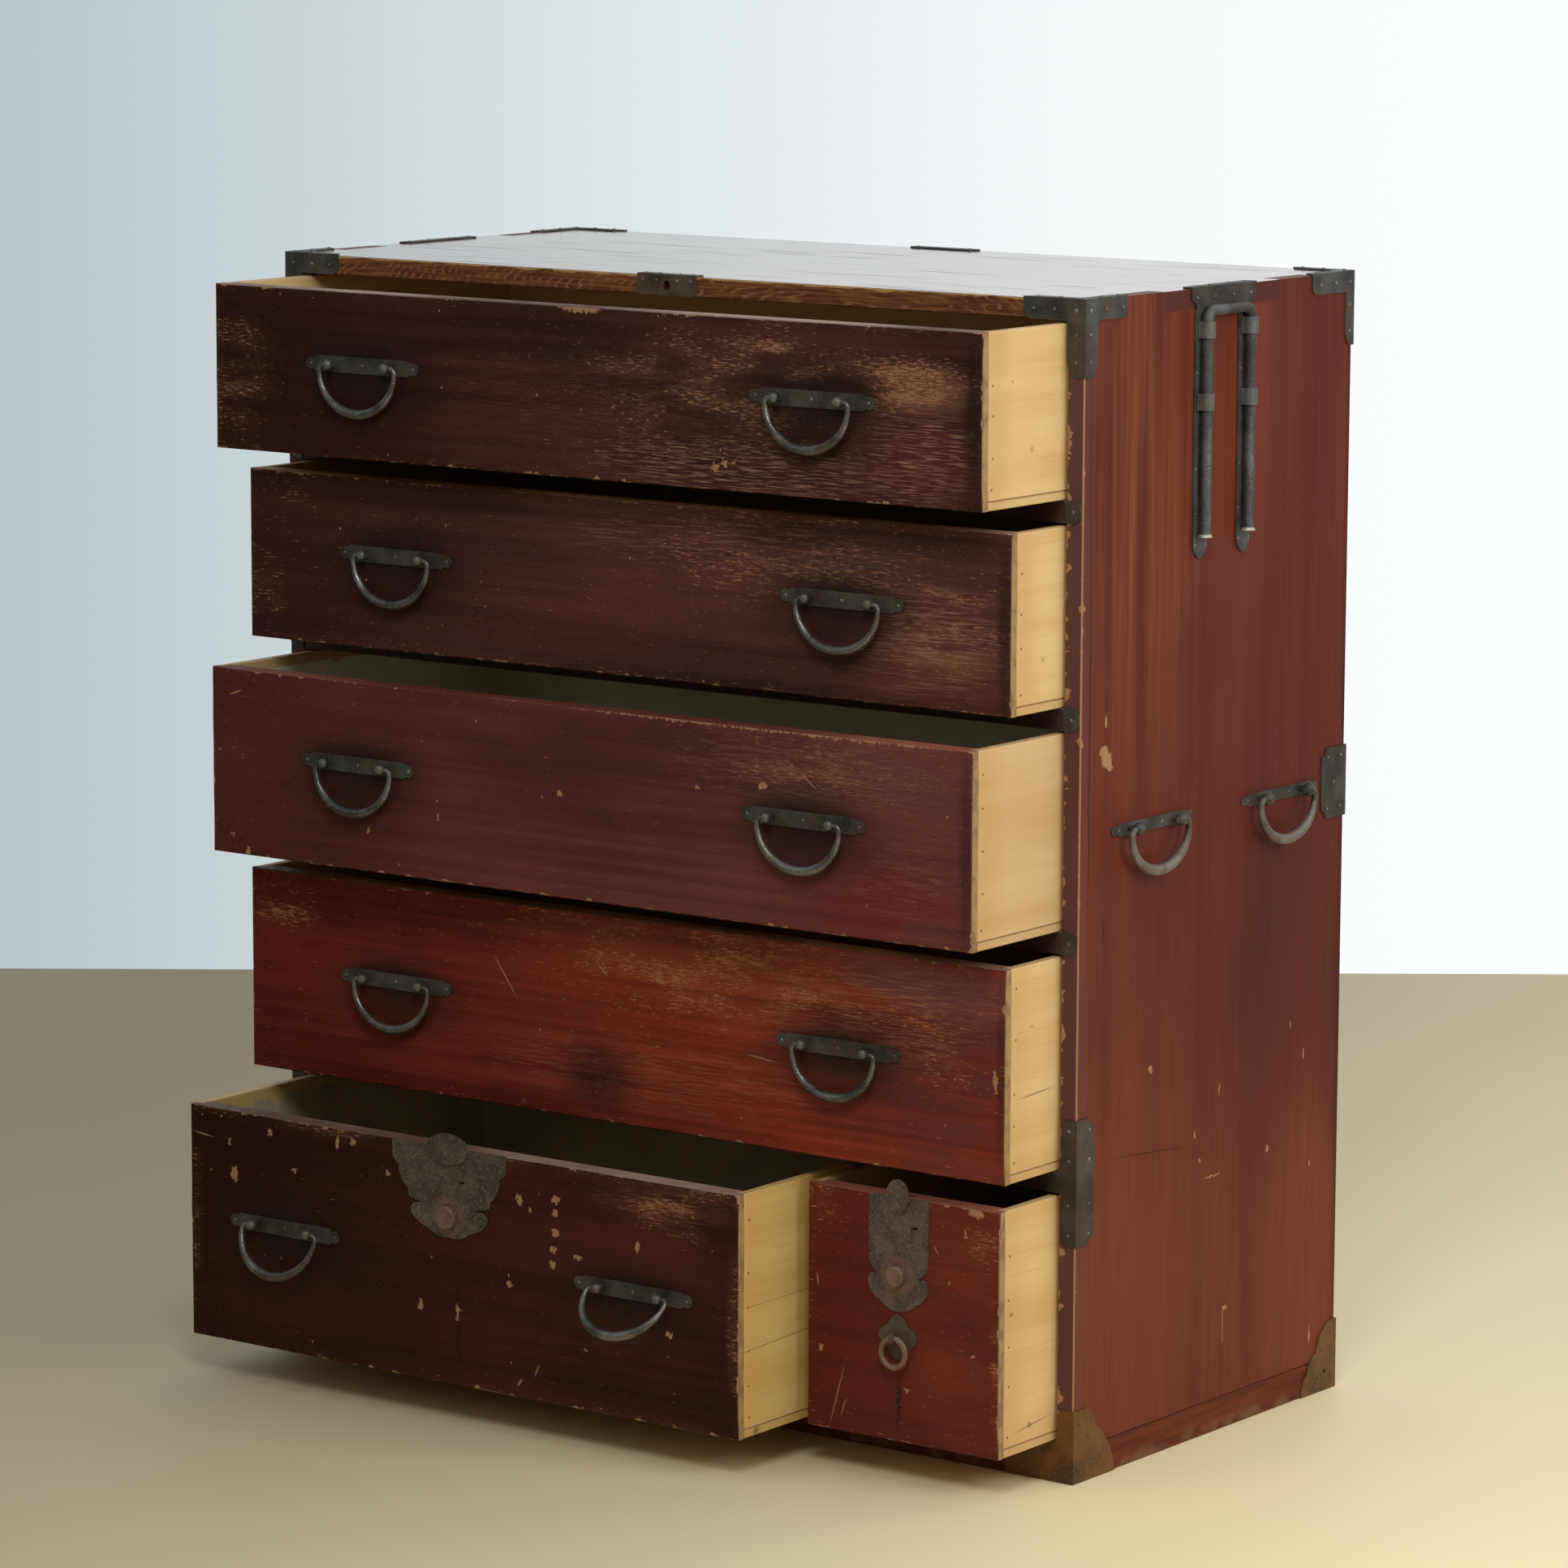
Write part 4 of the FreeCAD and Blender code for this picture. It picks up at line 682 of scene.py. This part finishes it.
# Each drawer's looks. Its tones are dark and red lacquer and the flecks worn into it. A row of marks
# starts with an oval, as mark takes it. A chip is no more than that, a scratch has its slope too, a rub,
# a patch of lines and a smudge their strength, and a tint its strength and colour.
front_looks = {
    1: {
        "tones": ((0.036, 0.0095, 0.008), (0.085, 0.022, 0.018), (0.42, 0.195, 0.095)),
        "tints": [
            (360, 105, 110, 60, 0.55, (0.125, 0.025, 0.02)),
            (-60, 85, 200, 80, 0.2, (0.115, 0.019, 0.014)),
            (380, 56, 60, 24, 0.95, (0.33, 0.155, 0.074)),
        ],
        "rubs": [
            (368, 48, 90, 34, 1), (220, 60, 260, 80, 0.8), (206, 26, 80, 14, 0.5),
            (30, 50, 170, 65, 0.4), (330, 125, 100, 25, 0.55), (100, 118, 240, 48, 0.34),
            (-405, 80, 75, 110, 0.62),
        ],
        "lines": [(370, 110, 85, 60, 0.75), (180, 135, 220, 38, 0.75), (50, 90, 300, 70, 0.12)],
        "chips": [(0, 2, 26, 3.5), (150, 133, 5, 3.5), (160, 129, 3.5, 4.5), (170, 128, 2.8, 2.2)],
        "smudges": [(425, 80, 16, 120, 0.7)],
    },
    2: {
        "tones": ((0.056, 0.018, 0.016), (0.132, 0.04, 0.033), (0.4, 0.175, 0.085)),
        "tints": [
            (360, 140, 120, 60, 0.65, (0.205, 0.047, 0.0255)),
            (-50, 110, 220, 70, 0.45, (0.12, 0.025, 0.022)),
            (355, 112, 85, 22, 0.9, (0.29, 0.115, 0.052)),
            (300, 40, 160, 40, 0.5, (0.06, 0.026, 0.026)),
        ],
        "rubs": [
            (360, 85, 110, 75, 0.9), (200, 45, 260, 60, 0.72), (-390, 30, 80, 40, 0.3),
            (-410, 110, 40, 60, 0.35),
        ],
        "lines": [(350, 100, 105, 70, 0.75), (120, 30, 260, 34, 0.4)],
        "smudges": [(428, 80, 12, 120, 0.6)],
    },
    3: {
        "tones": ((0.084, 0.0225, 0.02), (0.188, 0.05, 0.04), (0.37, 0.155, 0.068)),
        "tints": [
            (340, 145, 150, 75, 0.75, (0.16, 0.02, 0.016)),
            (320, 40, 160, 60, 0.6, (0.115, 0.046, 0.04)),
            (-100, 120, 220, 80, 0.45, (0.17, 0.03, 0.024)),
            (-400, 100, 80, 120, 0.6, (0.145, 0.026, 0.015)),
        ],
        "rubs": [(270, 30, 210, 48, 0.85), (-410, 50, 40, 60, 0.35)],
        "lines": [(260, 35, 200, 45, 0.45), (360, 120, 90, 60, 0.3)],
        "chips": [
            (200, 0, 240, 2.4), (210, 51, 5.5, 4.5), (138, 59, 3.5, 1.6), (-18, 80, 3.5, 3),
            (-160, 115, 1.6, 4), (-244, 137, 3, 3), (-391, 171, 2.8, 5), (-410, 157, 2.5, 2.5),
        ],
        "scratches": [(260, 42, 14, 1.1, 0.65), (-405, 22, 10, 1.3, -0.33)],
        "smudges": [(428, 90, 11, 130, 0.5)],
    },
    4: {
        "tones": ((0.112, 0.0142, 0.007), (0.325, 0.048, 0.0205), (0.5, 0.185, 0.074)),
        "tints": [
            (400, 110, 210, 150, 0.95, (0.125, 0.034, 0.03)),
            (120, 18, 340, 30, 0.55, (0.2, 0.062, 0.03)),
            (350, 24, 170, 46, 0.95, (0.2, 0.071, 0.065)),
            (-60, 90, 200, 70, 0.45, (0.23, 0.027, 0.012)),
        ],
        "rubs": [
            (120, 45, 280, 70, 0.95), (370, 70, 100, 80, 0.6), (-400, 35, 80, 45, 0.7),
            (-100, 20, 250, 30, 0.35),
        ],
        "lines": [(60, 140, 280, 45, 0.35), (280, 60, 180, 70, 0.45), (350, 26, 120, 30, 0.35)],
        "chips": [(424, 100, 3, 12)],
        "scratches": [
            (-124.5, 69.5, 29, 1.2, 0.94), (-10.5, 50.5, 11, 1.2, 0.71), (170, 110, 21, 1, 0.1),
        ],
        "smudges": [(-15, 149, 62, 52, 0.65), (430, 100, 8, 120, 0.4)],
    },
    5: {
        "tones": ((0.03, 0.0064, 0.0042), (0.07, 0.014, 0.008), (0.44, 0.195, 0.084)),
        "tints": [
            (-330, 170, 120, 80, 0.45, (0.085, 0.013, 0.008)),
            (80, 60, 120, 60, 0.45, (0.095, 0.016, 0.0095)),
            (110, 110, 110, 110, 0.55, (0.105, 0.0185, 0.0105)),
        ],
        "rubs": [
            (145, 22, 100, 44, 0.95), (-180, 4, 300, 12, 0.5), (205, 120, 12, 110, 0.45),
            (-425, 110, 12, 120, 0.4),
        ],
        "lines": [(120, 22, 90, 22, 0.35)],
        "chips": [
            (5.7, 32, 4.5, 5), (5.6, 45, 4.2, 4.5), (5.6, 63, 4.2, 4.5), (3.7, 79, 4, 4.5),
            (2.7, 93, 3.8, 4), (-379, 60, 5, 9), (-385, 30, 2.2, 5.5), (-335, 15, 4, 4),
            (-305, 47, 3, 3), (-252, 14, 2.5, 6.5), (-233, 11, 4.5, 4), (-192, 34, 2.5, 3),
            (-153, 152, 3.5, 6), (-109, 153, 2.8, 9), (-48, 118, 3, 3), (-36, 38, 4, 6),
            (-24, 45, 2.2, 2.2), (32, 82, 5.5, 3), (100, 62, 3, 5), (40, 166, 3, 2), (135, 138, 5, 3),
        ],
        "scratches": [
            (-418, 27, 16, 1.1, 0.1), (-16, 194, 8, 1.3, -1.1), (-36, 208, 6, 2, -0.9),
            (-58, 222, 34, 1, 0.04),
        ],
        "smudges": [(-108, 160, 6, 75, 0.6)],
    },
    6: {
        "tones": ((0.106, 0.022, 0.0145), (0.236, 0.045, 0.023), (0.46, 0.185, 0.078)),
        "tints": [(385, 110, 80, 130, 0.7, (0.25, 0.042, 0.021))],
        "rubs": [(415, 30, 30, 50, 0.6), (245, 20, 30, 30, 0.6), (429, 130, 10, 100, 0.5)],
        "chips": [
            (242, 149, 3, 4), (336, 174, 4, 1.8), (398, 24, 1.8, 5), (410, 4, 9, 4.5),
            (407, 133, 2.5, 2.5),
        ],
        "scratches": [
            (238, 87, 8, 1.2, 1.45), (260, 190, 36, 0.9, 1.84), (267, 200, 12, 0.9, 1.9),
            (367, 43, 6, 1, 1),
        ],
        "smudges": [(327, 187, 3.5, 34, 0.85)],
    },
}
pull_drops = {1: 0.067, 2: 0.071, 3: 0.077, 4: 0.09, 5: 0.104}
plate_length = 0.134
eye_half = 0.034
halo_black, grip_black, ash = (0.02, 0.0105, 0.0095), (0.014, 0.0095, 0.0095), (0.105, 0.085, 0.078)
dusty_edge = ((0.15, 0.08, 0.062), (0.36, 0.235, 0.18))
red_edge = ((0.13, 0.033, 0.02), (0.27, 0.09, 0.05))
dusty_fronts = (1, 2, 4, 5)
end_pale, end_dark, behind_pale = (0.39, 0.26, 0.105), (0.265, 0.165, 0.08), (0.58, 0.38, 0.18)


def pull_middles(number):
    """X places of a drawer's two pulls."""
    low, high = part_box(f"drawer_{number}_pull_mounts")
    return (low.x + plate_length / 2, high.x - plate_length / 2)


def tinted(colour, shares):
    return [share * part for share, part in zip(shares, colour)]


def front_finish(number):
    looks = front_looks[number]
    dark, red, fleck = looks["tones"]
    coat = Lacquer(number)
    low, high = coat.low, coat.high
    seed = number * 3.7
    grain = coat.noise((2, 40, 110), 4, seed)
    cloud = coat.noise((4, 5, 9), 3, seed + 1)
    cluster = coat.noise((14, 20, 45), 2, seed + 5)
    dash = coat.noise((105, 60, 900), 1, seed + 2)
    cross = coat.noise((640, 60, 260), 1, seed + 3)
    fine = coat.noise((60, 60, 1100), 2, seed + 4)
    sides = coat.least(coat.less(coat.x, low.x), coat.less(high.x, coat.x))
    levels = coat.least(coat.less(coat.z, low.z), coat.less(high.z, coat.z))
    edge = coat.least(sides, levels)
    tone = coat.total((0.55, grain), (0.65, cloud))
    coat.colour = coat.mix(coat.step(tone, 0.42, 0.78), dark, red)
    coat.paint(dark, 0.4, coat.step(fine, 0.5, 0.68))
    # Painted shade: each front darkens towards its left end, the end away from the light.
    shaded_far_end = coat.step(coat.x, low.x + 0.42, low.x)
    coat.paint(tinted(dark, (0.85, 0.55, 0.5)), 0.75, shaded_far_end)
    broken = coat.step(coat.noise((9, 12, 40), 4, seed + 8), 0.25, 0.6)
    for *oval, strength, colour in looks["tints"]:
        coat.paint(colour, strength, broken, coat.mark(oval, 0.95))
    wear = coat.times(0.3, coat.step(edge, 0.014, 0))
    for *oval, strength in looks["rubs"]:
        wear = coat.total(wear, (strength, coat.mark(oval, 0.95)))
    wear = coat.least(1, wear)
    worn = coat.times(wear, coat.step(cluster, 0.3, 0.62))
    mottle = coat.noise((160, 60, 420), 3, seed + 6)
    glow = coat.times(0.75, wear, worn, coat.step(mottle, 0.28, 0.66))
    coat.paint(tinted(fleck, (0.62, 0.62, 0.62)), coat.least(1, glow))
    dashes = coat.step(coat.total(dash, (0.29, worn)), 0.725, 0.79)
    dashes = coat.times(dashes, coat.step(cross, 0.34, 0.48))
    coat.paint(fleck, 0.8, dashes)
    lined = coat.step(coat.noise((36, 60, 1080), 2, seed + 7), 0.53, 0.61)
    pink = tinted(fleck, (0.85, 0.95, 1.25))
    for *oval, strength in looks.get("lines", ()):
        coat.paint(pink, strength, lined, coat.mark(oval, 0.7))
    if number in pull_drops:
        drop = pull_drops[number] / mm
        for middle in pull_middles(number):
            coat.paint(halo_black, 0.8, coat.mark((middle / mm, drop + 12, 125, 62), 0.95))
            coat.paint(grip_black, 0.8, coat.mark((middle / mm, drop, 86, 26), 0.85))
    for *oval, strength in looks["smudges"]:
        smudge = coat.mark(oval, 0.8, place=coat.ragged)
        coat.paint(soot_and_shade, strength, smudge)
        coat.paint(ash, 0.5, strength, smudge, coat.step(mottle, 0.56, 0.68))
    rim_noise = coat.noise((70, 70, 70), 5, seed)
    rim_width = coat.total(0.0003, (0.004, coat.step(rim_noise, 0.52, 0.76)))
    bare = coat.step(coat.less(rim_width, edge), 0, 0.0008)
    specks = coat.step(coat.pits((70, 70, 48), seed), 0.085, 0.05)
    bare = coat.most(bare, (specks, coat.step(cluster, 0.52, 0.62)))
    for oval in looks.get("chips", ()):
        bare = coat.most(bare, coat.mark(oval, 0.35, place=coat.ragged))
    for *oval, slope in looks.get("scratches", ()):
        bare = coat.most(bare, (0.8, coat.mark(oval, 0.6, slope)))
    coat.paint(bare_wood, 0.9, bare)
    edge_tones = dusty_edge if number in dusty_fronts else red_edge
    coat.paint(coat.mix(coat.step(cloud, 0.4, 0.62), *edge_tones), coat.step(coat.face_z, 0.5, 0.8))
    cut_end = coat.mix(coat.step(rim_noise, 0.4, 0.65), end_pale, end_dark)
    coat.paint(cut_end, coat.step(coat.math("ABSOLUTE", coat.face_x), 0.5, 0.8))
    coat.paint(behind_pale, coat.step(coat.face_y, 0.5, 0.8))
    rough = coat.total(0.4, (0.18, dashes), (0.3, bare), (0.1, fine))
    height = coat.total((0.4, grain), (0.3, fine), (-0.5, dashes), (-1.8, bare))
    return coat.lay(rough, height, 0.0002, gloss=lacquer_gloss)


for number in range(1, 7):
    holes = list(lock_bores.get(number, ()))
    if number in pull_drops:
        for middle in pull_middles(number):
            holes += [middle - eye_half, middle + eye_half]
    lacquer = front_finish(number)
    board = (f"drawer_{number}_front", f"front_board_{number}", "front_lacquer", lacquer)
    worn_board(*board, arris=0.0013, wander=0.0008, holes=holes)


# Drawer boxes
# Pale softwood sides, back and bottom, lapped behind the front and nailed; the bottom is nailed on from
# below. Two drawers are lined with old paper, cream or tan, and torn along its top edge in the lowest one;
# the cream of the upper one is paler partly as painted light.
# Marks on the right sides are rows as scar takes them, with their slope and strength.
side_marks = {
    1: [(-270, 925, 4, 4.5, 0, 0.35), (-300, 985, 3, 2.2, 0, 0.4)],
    2: [(-250, 740, 3.5, 3, 0, 0.35)],
    4: [(-254, 357.5, 36, 1, 0.05, 0.8), (-262, 418, 5, 2, 0, 0.35)],
    5: [(-220, 122.5, 400, 0.9, 0.04, 0.6), (-220, 156, 400, 0.8, 0, 0.5), (-365, 41.6, 7, 5, 0, 0.7)],
    6: [(-255, 59.5, 40, 0.9, 0.108, 0.8), (-259, 60, 4.5, 4, 0, 0.7), (-289, 165, 5, 3, 0, 0.6)],
}
# Drawer 5's box wood is painted a little darker and yellower, standing in for the shade of drawer 6 and
# warm light bounced from the floor and the fronts.
box_tones_and_bounce_light = {
    3: ((0.62, 0.4, 0.17), (0.71, 0.49, 0.24)),
    5: ((0.68, 0.455, 0.135), (0.78, 0.56, 0.195)),
}
usual_tones = ((0.72, 0.475, 0.195), (0.82, 0.585, 0.275))
wall_thick, bottom_thick = 0.009, 0.008


def box_finish(number):
    dark_grain, browned, handled = (0.58, 0.345, 0.125), (0.66, 0.405, 0.155), (0.56, 0.29, 0.085)
    bottom_edge, gap, mark_dark = (0.46, 0.285, 0.105), (0.24, 0.13, 0.05), (0.17, 0.085, 0.036)
    edge_dirt, inside_dark = (0.42, 0.245, 0.105), (0.44, 0.265, 0.115)
    low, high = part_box(f"drawer_{number}_box")
    wood = Finish(f"drawer_{number}_wood")
    seed = number * 2.3
    on_side = wood.step(wood.math("ABSOLUTE", wood.face_x), 0.4, 0.6)
    off_side = wood.less(1, on_side)
    deep = wood.noise((30, 2.2, 34), 4, seed)
    deep_fine = wood.noise((160, 10, 380), 3, seed)
    across = wood.noise((2.2, 34, 34), 4, seed)
    across_fine = wood.noise((10, 300, 380), 3, seed)
    grain = wood.total((on_side, deep), (off_side, across))
    fine = wood.total((on_side, deep_fine), (off_side, across_fine))
    cloud = wood.noise((6, 6, 9), 3, seed + 4)
    wood.colour = wood.mix(wood.step(grain, 0.3, 0.7), *box_tones_and_bounce_light.get(number, usual_tones))
    wood.paint(dark_grain, 0.22, wood.step(fine, 0.5, 0.7))
    wood.paint(browned, 0.4, wood.step(cloud, 0.5, 0.75))
    wood.paint(handled, 0.45, wood.step(wood.less(wood.y, low.y), 0.05, 0.002))
    wood.paint(bottom_edge, 0.35, wood.step(wood.z, low.z + 0.0085, low.z + 0.0075))
    wood.paint(gap, 0.65, wood.spot((0, 0, low.z + bottom_thick), (wide, wide, 0.0014), 0.8))
    for *row, slope, strength in side_marks.get(number, ()):
        wood.paint(mark_dark, strength, wood.scar(row, 0.7, slope, x=high.x, deep=0.02))
    wood.paint(edge_dirt, 0.5, wood.step(wood.face_z, 0.5, 0.8))
    aside = wood.math("ABSOLUTE", wood.less(wood.x, (low.x + high.x) / 2))
    half_wide = (high.x - low.x) / 2
    wood.paint(inside_dark, 0.3, wood.step(aside, half_wide - 0.004, half_wide - 0.007))
    rough = wood.total(0.48, (0.18, fine))
    return wood.lay(rough, wood.total(grain, (0.6, fine)), 0.0002)


peg_tones = ((0.15, 0.058, 0.018), (0.28, 0.12, 0.04), (0.22, 0.08, 0.03))
peg_iron = iron_finish("drawer_nail_iron", *peg_tones, rusty=0.6, metal=0)
lowest_nail, highest_nail, nail_inset, inset_play = 0.018, 0.01, 0.006, 0.0012
nail_gap = (0.026, 0.05)
for number in range(1, 7):
    box_low, box_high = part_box(f"drawer_{number}_box")
    board = (f"drawer_{number}_box", f"drawer_box_{number}", "drawer_wood", box_finish(number))
    worn_board(*board, arris=0.0009, wander=0.0003)
    draw = random.Random(number)
    places = []
    for x, outward in ((box_low.x, (-1, 0, 0)), (box_high.x, (1, 0, 0))):
        level = box_low.z + lowest_nail
        while level < box_high.z - highest_nail:
            inset = nail_inset + draw.uniform(-inset_play, inset_play)
            places.append((x, box_low.y + inset, level, outward))
            places.append((x, box_high.y - wall_thick / 2, level, outward))
            level += draw.uniform(*nail_gap)
    nails = (f"drawer_{number}_nails", f"drawer_{number}", "drawer_wood", peg_iron, places)
    nail_heads(*nails, radius=0.0012, rise=0.0003)


def paper_finish(number, pale, dark):
    paper = Finish(f"drawer_{number}_lining_paper")
    fibre = paper.noise((220, 220, 220), 3)
    cloud = paper.noise((7, 7, 7), 4, 3)
    paper.colour = paper.mix(paper.step(cloud, 0.35, 0.7), pale, dark)
    paper.paint(dark, 0.4, paper.step(fibre, 0.5, 0.7))
    return paper.lay(0.8, paper.total(fibre, cloud), 0.0002)


tear_waves, fray_waves = 45, 160
# Drawer 3's cream paper is painted paler than drawer 5's, partly standing in for the light that falls into
# that drawer.
for number, tear, pale, dark in (
    (3, 0.006, (0.84, 0.8, 0.62), (0.66, 0.61, 0.45)),
    (5, 0.024, (0.52, 0.45, 0.3), (0.37, 0.305, 0.19)),
):
    lining_paper = paper_finish(number, pale, dark)
    box_low, box_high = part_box(f"drawer_{number}_box")
    front_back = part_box(f"drawer_{number}_front")[1].y
    slack, rim_drop = 0.0004, 0.0095
    inset = wall_thick + slack
    inner_low = Vector((box_low.x + inset, front_back + slack, box_low.z + bottom_thick + slack))
    inner_high = Vector((box_high.x - inset, box_high.y - inset, box_high.z - rim_drop))
    lining = bmesh.new()
    size = Matrix.Diagonal((*(inner_high - inner_low), 1))
    seat = Matrix.Translation((inner_low + inner_high) / 2) @ size
    bmesh.ops.create_cube(lining, size=1.0, matrix=seat)
    lid = max(lining.faces, key=lambda face: face.calc_center_median().z)
    rim = list(lid.edges)
    bmesh.ops.delete(lining, geom=[lid], context="FACES_ONLY")
    bmesh.ops.bisect_edges(lining, edges=rim, cuts=150)
    for vertex in lining.verts:
        if vertex.co.z > inner_high.z - weld:
            shake = noise.noise(vertex.co * tear_waves) + 0.5 * noise.noise(vertex.co * fray_waves)
            vertex.co.z -= tear * max(shake, 0)
    bmesh.ops.reverse_faces(lining, faces=lining.faces)
    piece = show(lining, f"drawer_{number}_lining", f"drawer_{number}", "drawer_wood", lining_paper)
    thick = piece.modifiers.new("paper", "SOLIDIFY")
    thick.thickness = 0.0003
    thick.offset = -1


# Drawer pulls
# Each drawer but the small one has two bails, swelling to the middle, hung in ball-headed eyes that go
# through the front. The eyes stand on long plates with a rounded lobe at each end, held by small nails.
bail_tones = ((0.088, 0.083, 0.077), (0.275, 0.262, 0.245), (0.16, 0.105, 0.075))
bail_iron = iron_finish("bail_iron", *bail_tones, rusty=0.3, metal=0.85, rough=0.24)
plate_tones = ((0.043, 0.039, 0.034), (0.106, 0.098, 0.087), dull_rust)
plate_thick, head_reach = 0.0014, 0.001
for number in range(1, 6):
    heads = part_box(f"drawer_{number}_pull_mounts")[0].y + head_reach
    plate_iron = iron_finish(f"drawer_{number}_plate_iron", *plate_tones, rusty=0.4, heads=heads)
    dress(f"drawer_{number}_pull_mounts", plate_iron)
    front_low, front_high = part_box(f"drawer_{number}_front")
    for side in ("left", "right"):
        forged(f"drawer_{number}_bail_{side}", f"drawer_{number}_{side}_bow", bail_iron)
    face, level = front_low.y - plate_thick, front_high.z - pull_drops[number]
    places = []
    for middle in pull_middles(number):
        for along in (-0.061, 0, 0.061):
            places.append((middle + along, face, level, iron_front))
    nails = (f"drawer_{number}_pull_nails", f"drawer_{number}", "iron", nail_iron, places)
    nail_heads(*nails, radius=0.0016, rise=0.0008)


# Locks and ring of the bottom drawers
# Scalloped plates with a hooked keyhole, a guard tab and a push button on a leaf washer, and bolts behind
# the fronts. The small drawer has a ring on a leaf plate. All are brown with age, the handled parts rusty.
button_drops = {5: 0.065, 6: 0.071}
lock_tones = {
    5: ((0.062, 0.046, 0.036), (0.125, 0.095, 0.075)),
    6: ((0.08, 0.055, 0.044), (0.162, 0.113, 0.092)),
}


def lock_finish(number):
    pale, pit_black, washer_rust = (0.215, 0.165, 0.13), (0.02, 0.015, 0.012), (0.225, 0.12, 0.082)
    plate = Finish(f"lock_{number}_iron")
    cloud = plate.noise((45, 45, 45), 4)
    speck = plate.noise((330, 330, 330), 3, 2)
    pit = plate.step(plate.pits((360, 360, 360)), 0.14, 0.42)
    plate.colour = plate.mix(plate.step(cloud, 0.35, 0.68), *lock_tones[number])
    plate.paint(pale, 0.65, plate.step(speck, 0.53, 0.66))
    plate.paint(pit_black, 0.6, plate.step(pit, 0.6, 0.1))
    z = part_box(f"drawer_{number}_front")[1].z - button_drops[number]
    washer = plate.spot((lock_bores[number][0], 0, z), (0.0205, wide, 0.0205), 0.2)
    plate.paint(washer_rust, 0.75, washer)
    rough = plate.total(0.48, (0.2, speck))
    height = plate.total(pit, (0.8, cloud), (0.4, speck))
    return plate.lay(rough, height, 0.0003, metal=0.3)


button_tones = ((0.12, 0.066, 0.044), (0.265, 0.16, 0.115), (0.26, 0.115, 0.062))
rust_iron = iron_finish("rusty_iron", *button_tones, rusty=0.6, metal=0.25)
ring_tones = ((0.15, 0.09, 0.058), (0.3, 0.2, 0.135), (0.28, 0.14, 0.075))
ring_iron = iron_finish("ring_iron", *ring_tones, rusty=0.5, metal=0.3)
for number in (5, 6):
    dress(f"drawer_{number}_lock_plate", lock_finish(number))
    dress(f"drawer_{number}_lock_button", rust_iron)
    dress(f"drawer_{number}_lock_bolt", black_iron)
dress("drawer_6_ring", ring_iron)
dress("drawer_6_ring_mount", olive_iron)


# Studio
# A pale floor square under the chest, soft lights from the right, the front and the front left, and a pale
# surround that is whiter on the right.
photo_yaw = math.radians(36.555)
photo_turn = Matrix.Rotation(photo_yaw, 4, "Z")
across_view = Vector((math.cos(photo_yaw), math.sin(photo_yaw), 0))

floor_half, floor_drop = 2, 0.0004
floor_mesh = bmesh.new()
floor_turn = Matrix.Translation((0, 0, -floor_drop)) @ photo_turn
bmesh.ops.create_grid(floor_mesh, x_segments=1, y_segments=1, size=floor_half, matrix=floor_turn)
floor_data = bpy.data.meshes.new("studio_floor")
floor_mesh.to_mesh(floor_data)
floor_mesh.free()
paint = Finish("floor_paint")
# Painted light: the floor is painted darker to the left and paler to the right and towards the front, for
# the window light from the right.
sideways = paint.total((paint.x, across_view.x), (paint.y, across_view.y))
near_share = 0.35
nearness = paint.total(
    (paint.x, near_share * across_view.y),
    (paint.y, -near_share * across_view.x),
)
cloudy = paint.times(0.3, paint.noise((1.2, 1.2, 1.2)))
floor_dark, floor_pale = (0.37, 0.305, 0.175), (0.96, 0.79, 0.5)
lit = paint.step(paint.total(sideways, nearness, cloudy), -1.2, 1.1)
paint.colour = paint.mix(lit, floor_dark, floor_pale)
floor_data.materials.append(paint.lay(0.6, paint.noise((60, 60, 60)), 0.0001, gloss=0.2))
floor = stand("studio_floor", floor_data)

sky = Finish("studio_surround", bpy.data.worlds)
backdrop = sky.tree.nodes["Background"]


def facing(way, low, high, least, most):
    """A ramp over the directions of the surround, by how far each of them faces one way."""
    share = sky.add("VectorMath", {0: sky.way, 1: way}, operation="DOT_PRODUCT").outputs["Value"]
    inputs = {"Value": share, "From Min": low, "From Max": high, "To Min": least, "To Max": most}
    return sky.add("MapRange", inputs, interpolation_type="SMOOTHSTEP").outputs["Result"]


wall_grey, wall_white = (0.4, 0.49, 0.52), (0.96, 0.99, 1)
wall = sky.mix(facing(across_view, -0.2, 0.11, 0, 1), wall_grey, wall_white)
sky.feed(backdrop.inputs["Color"], wall)
level_share, ceiling_share = 0.8, 0.6
bright_way = (-level_share * math.sin(photo_yaw), level_share * math.cos(photo_yaw), ceiling_share)
sky.feed(backdrop.inputs["Strength"], facing(bright_way, 0.1, 0.62, 0.22, 1))
bpy.context.scene.world = sky.material

chest_middle = Vector((0, 0, 0.55))
for name, place, size, power in (
    ("window_light", (2.5, 0, 1.7), 1.4, 25),
    ("front_light", (1.5, -2.2, 2.7), 1.3, 36),
    ("room_fill", (-1.6, -3.8, 2.4), 2, 9),
):
    lamp = bpy.data.lights.new(name, "AREA")
    lamp.shape = "DISK"
    lamp.size = size
    lamp.energy = power
    aim = (chest_middle - Vector(place)).to_track_quat("-Z", "Y").to_matrix().to_4x4()
    stand(name, lamp).matrix_world = Matrix.Translation(place) @ aim
bpy.context.scene.view_settings.view_transform = "Standard"


# Camera
# It stands to the right of the chest's front, a little above its top, and looks slightly down through a
# long lens.
photo_pitch = math.radians(8.973)
photo_roll = math.radians(0.212)
camera_data = bpy.data.cameras.new("photo_camera")
camera_data.lens = 142.61
camera_data.sensor_width = 36
camera = stand("photo_camera", camera_data)
camera_place = (3.4301, -4.666, 1.4719)
tilt = Matrix.Rotation(math.pi / 2 - photo_pitch, 4, "X")
roll = Matrix.Rotation(photo_roll, 4, "Z")
camera.matrix_world = Matrix.Translation(camera_place) @ photo_turn @ tilt @ roll
bpy.context.scene.camera = camera
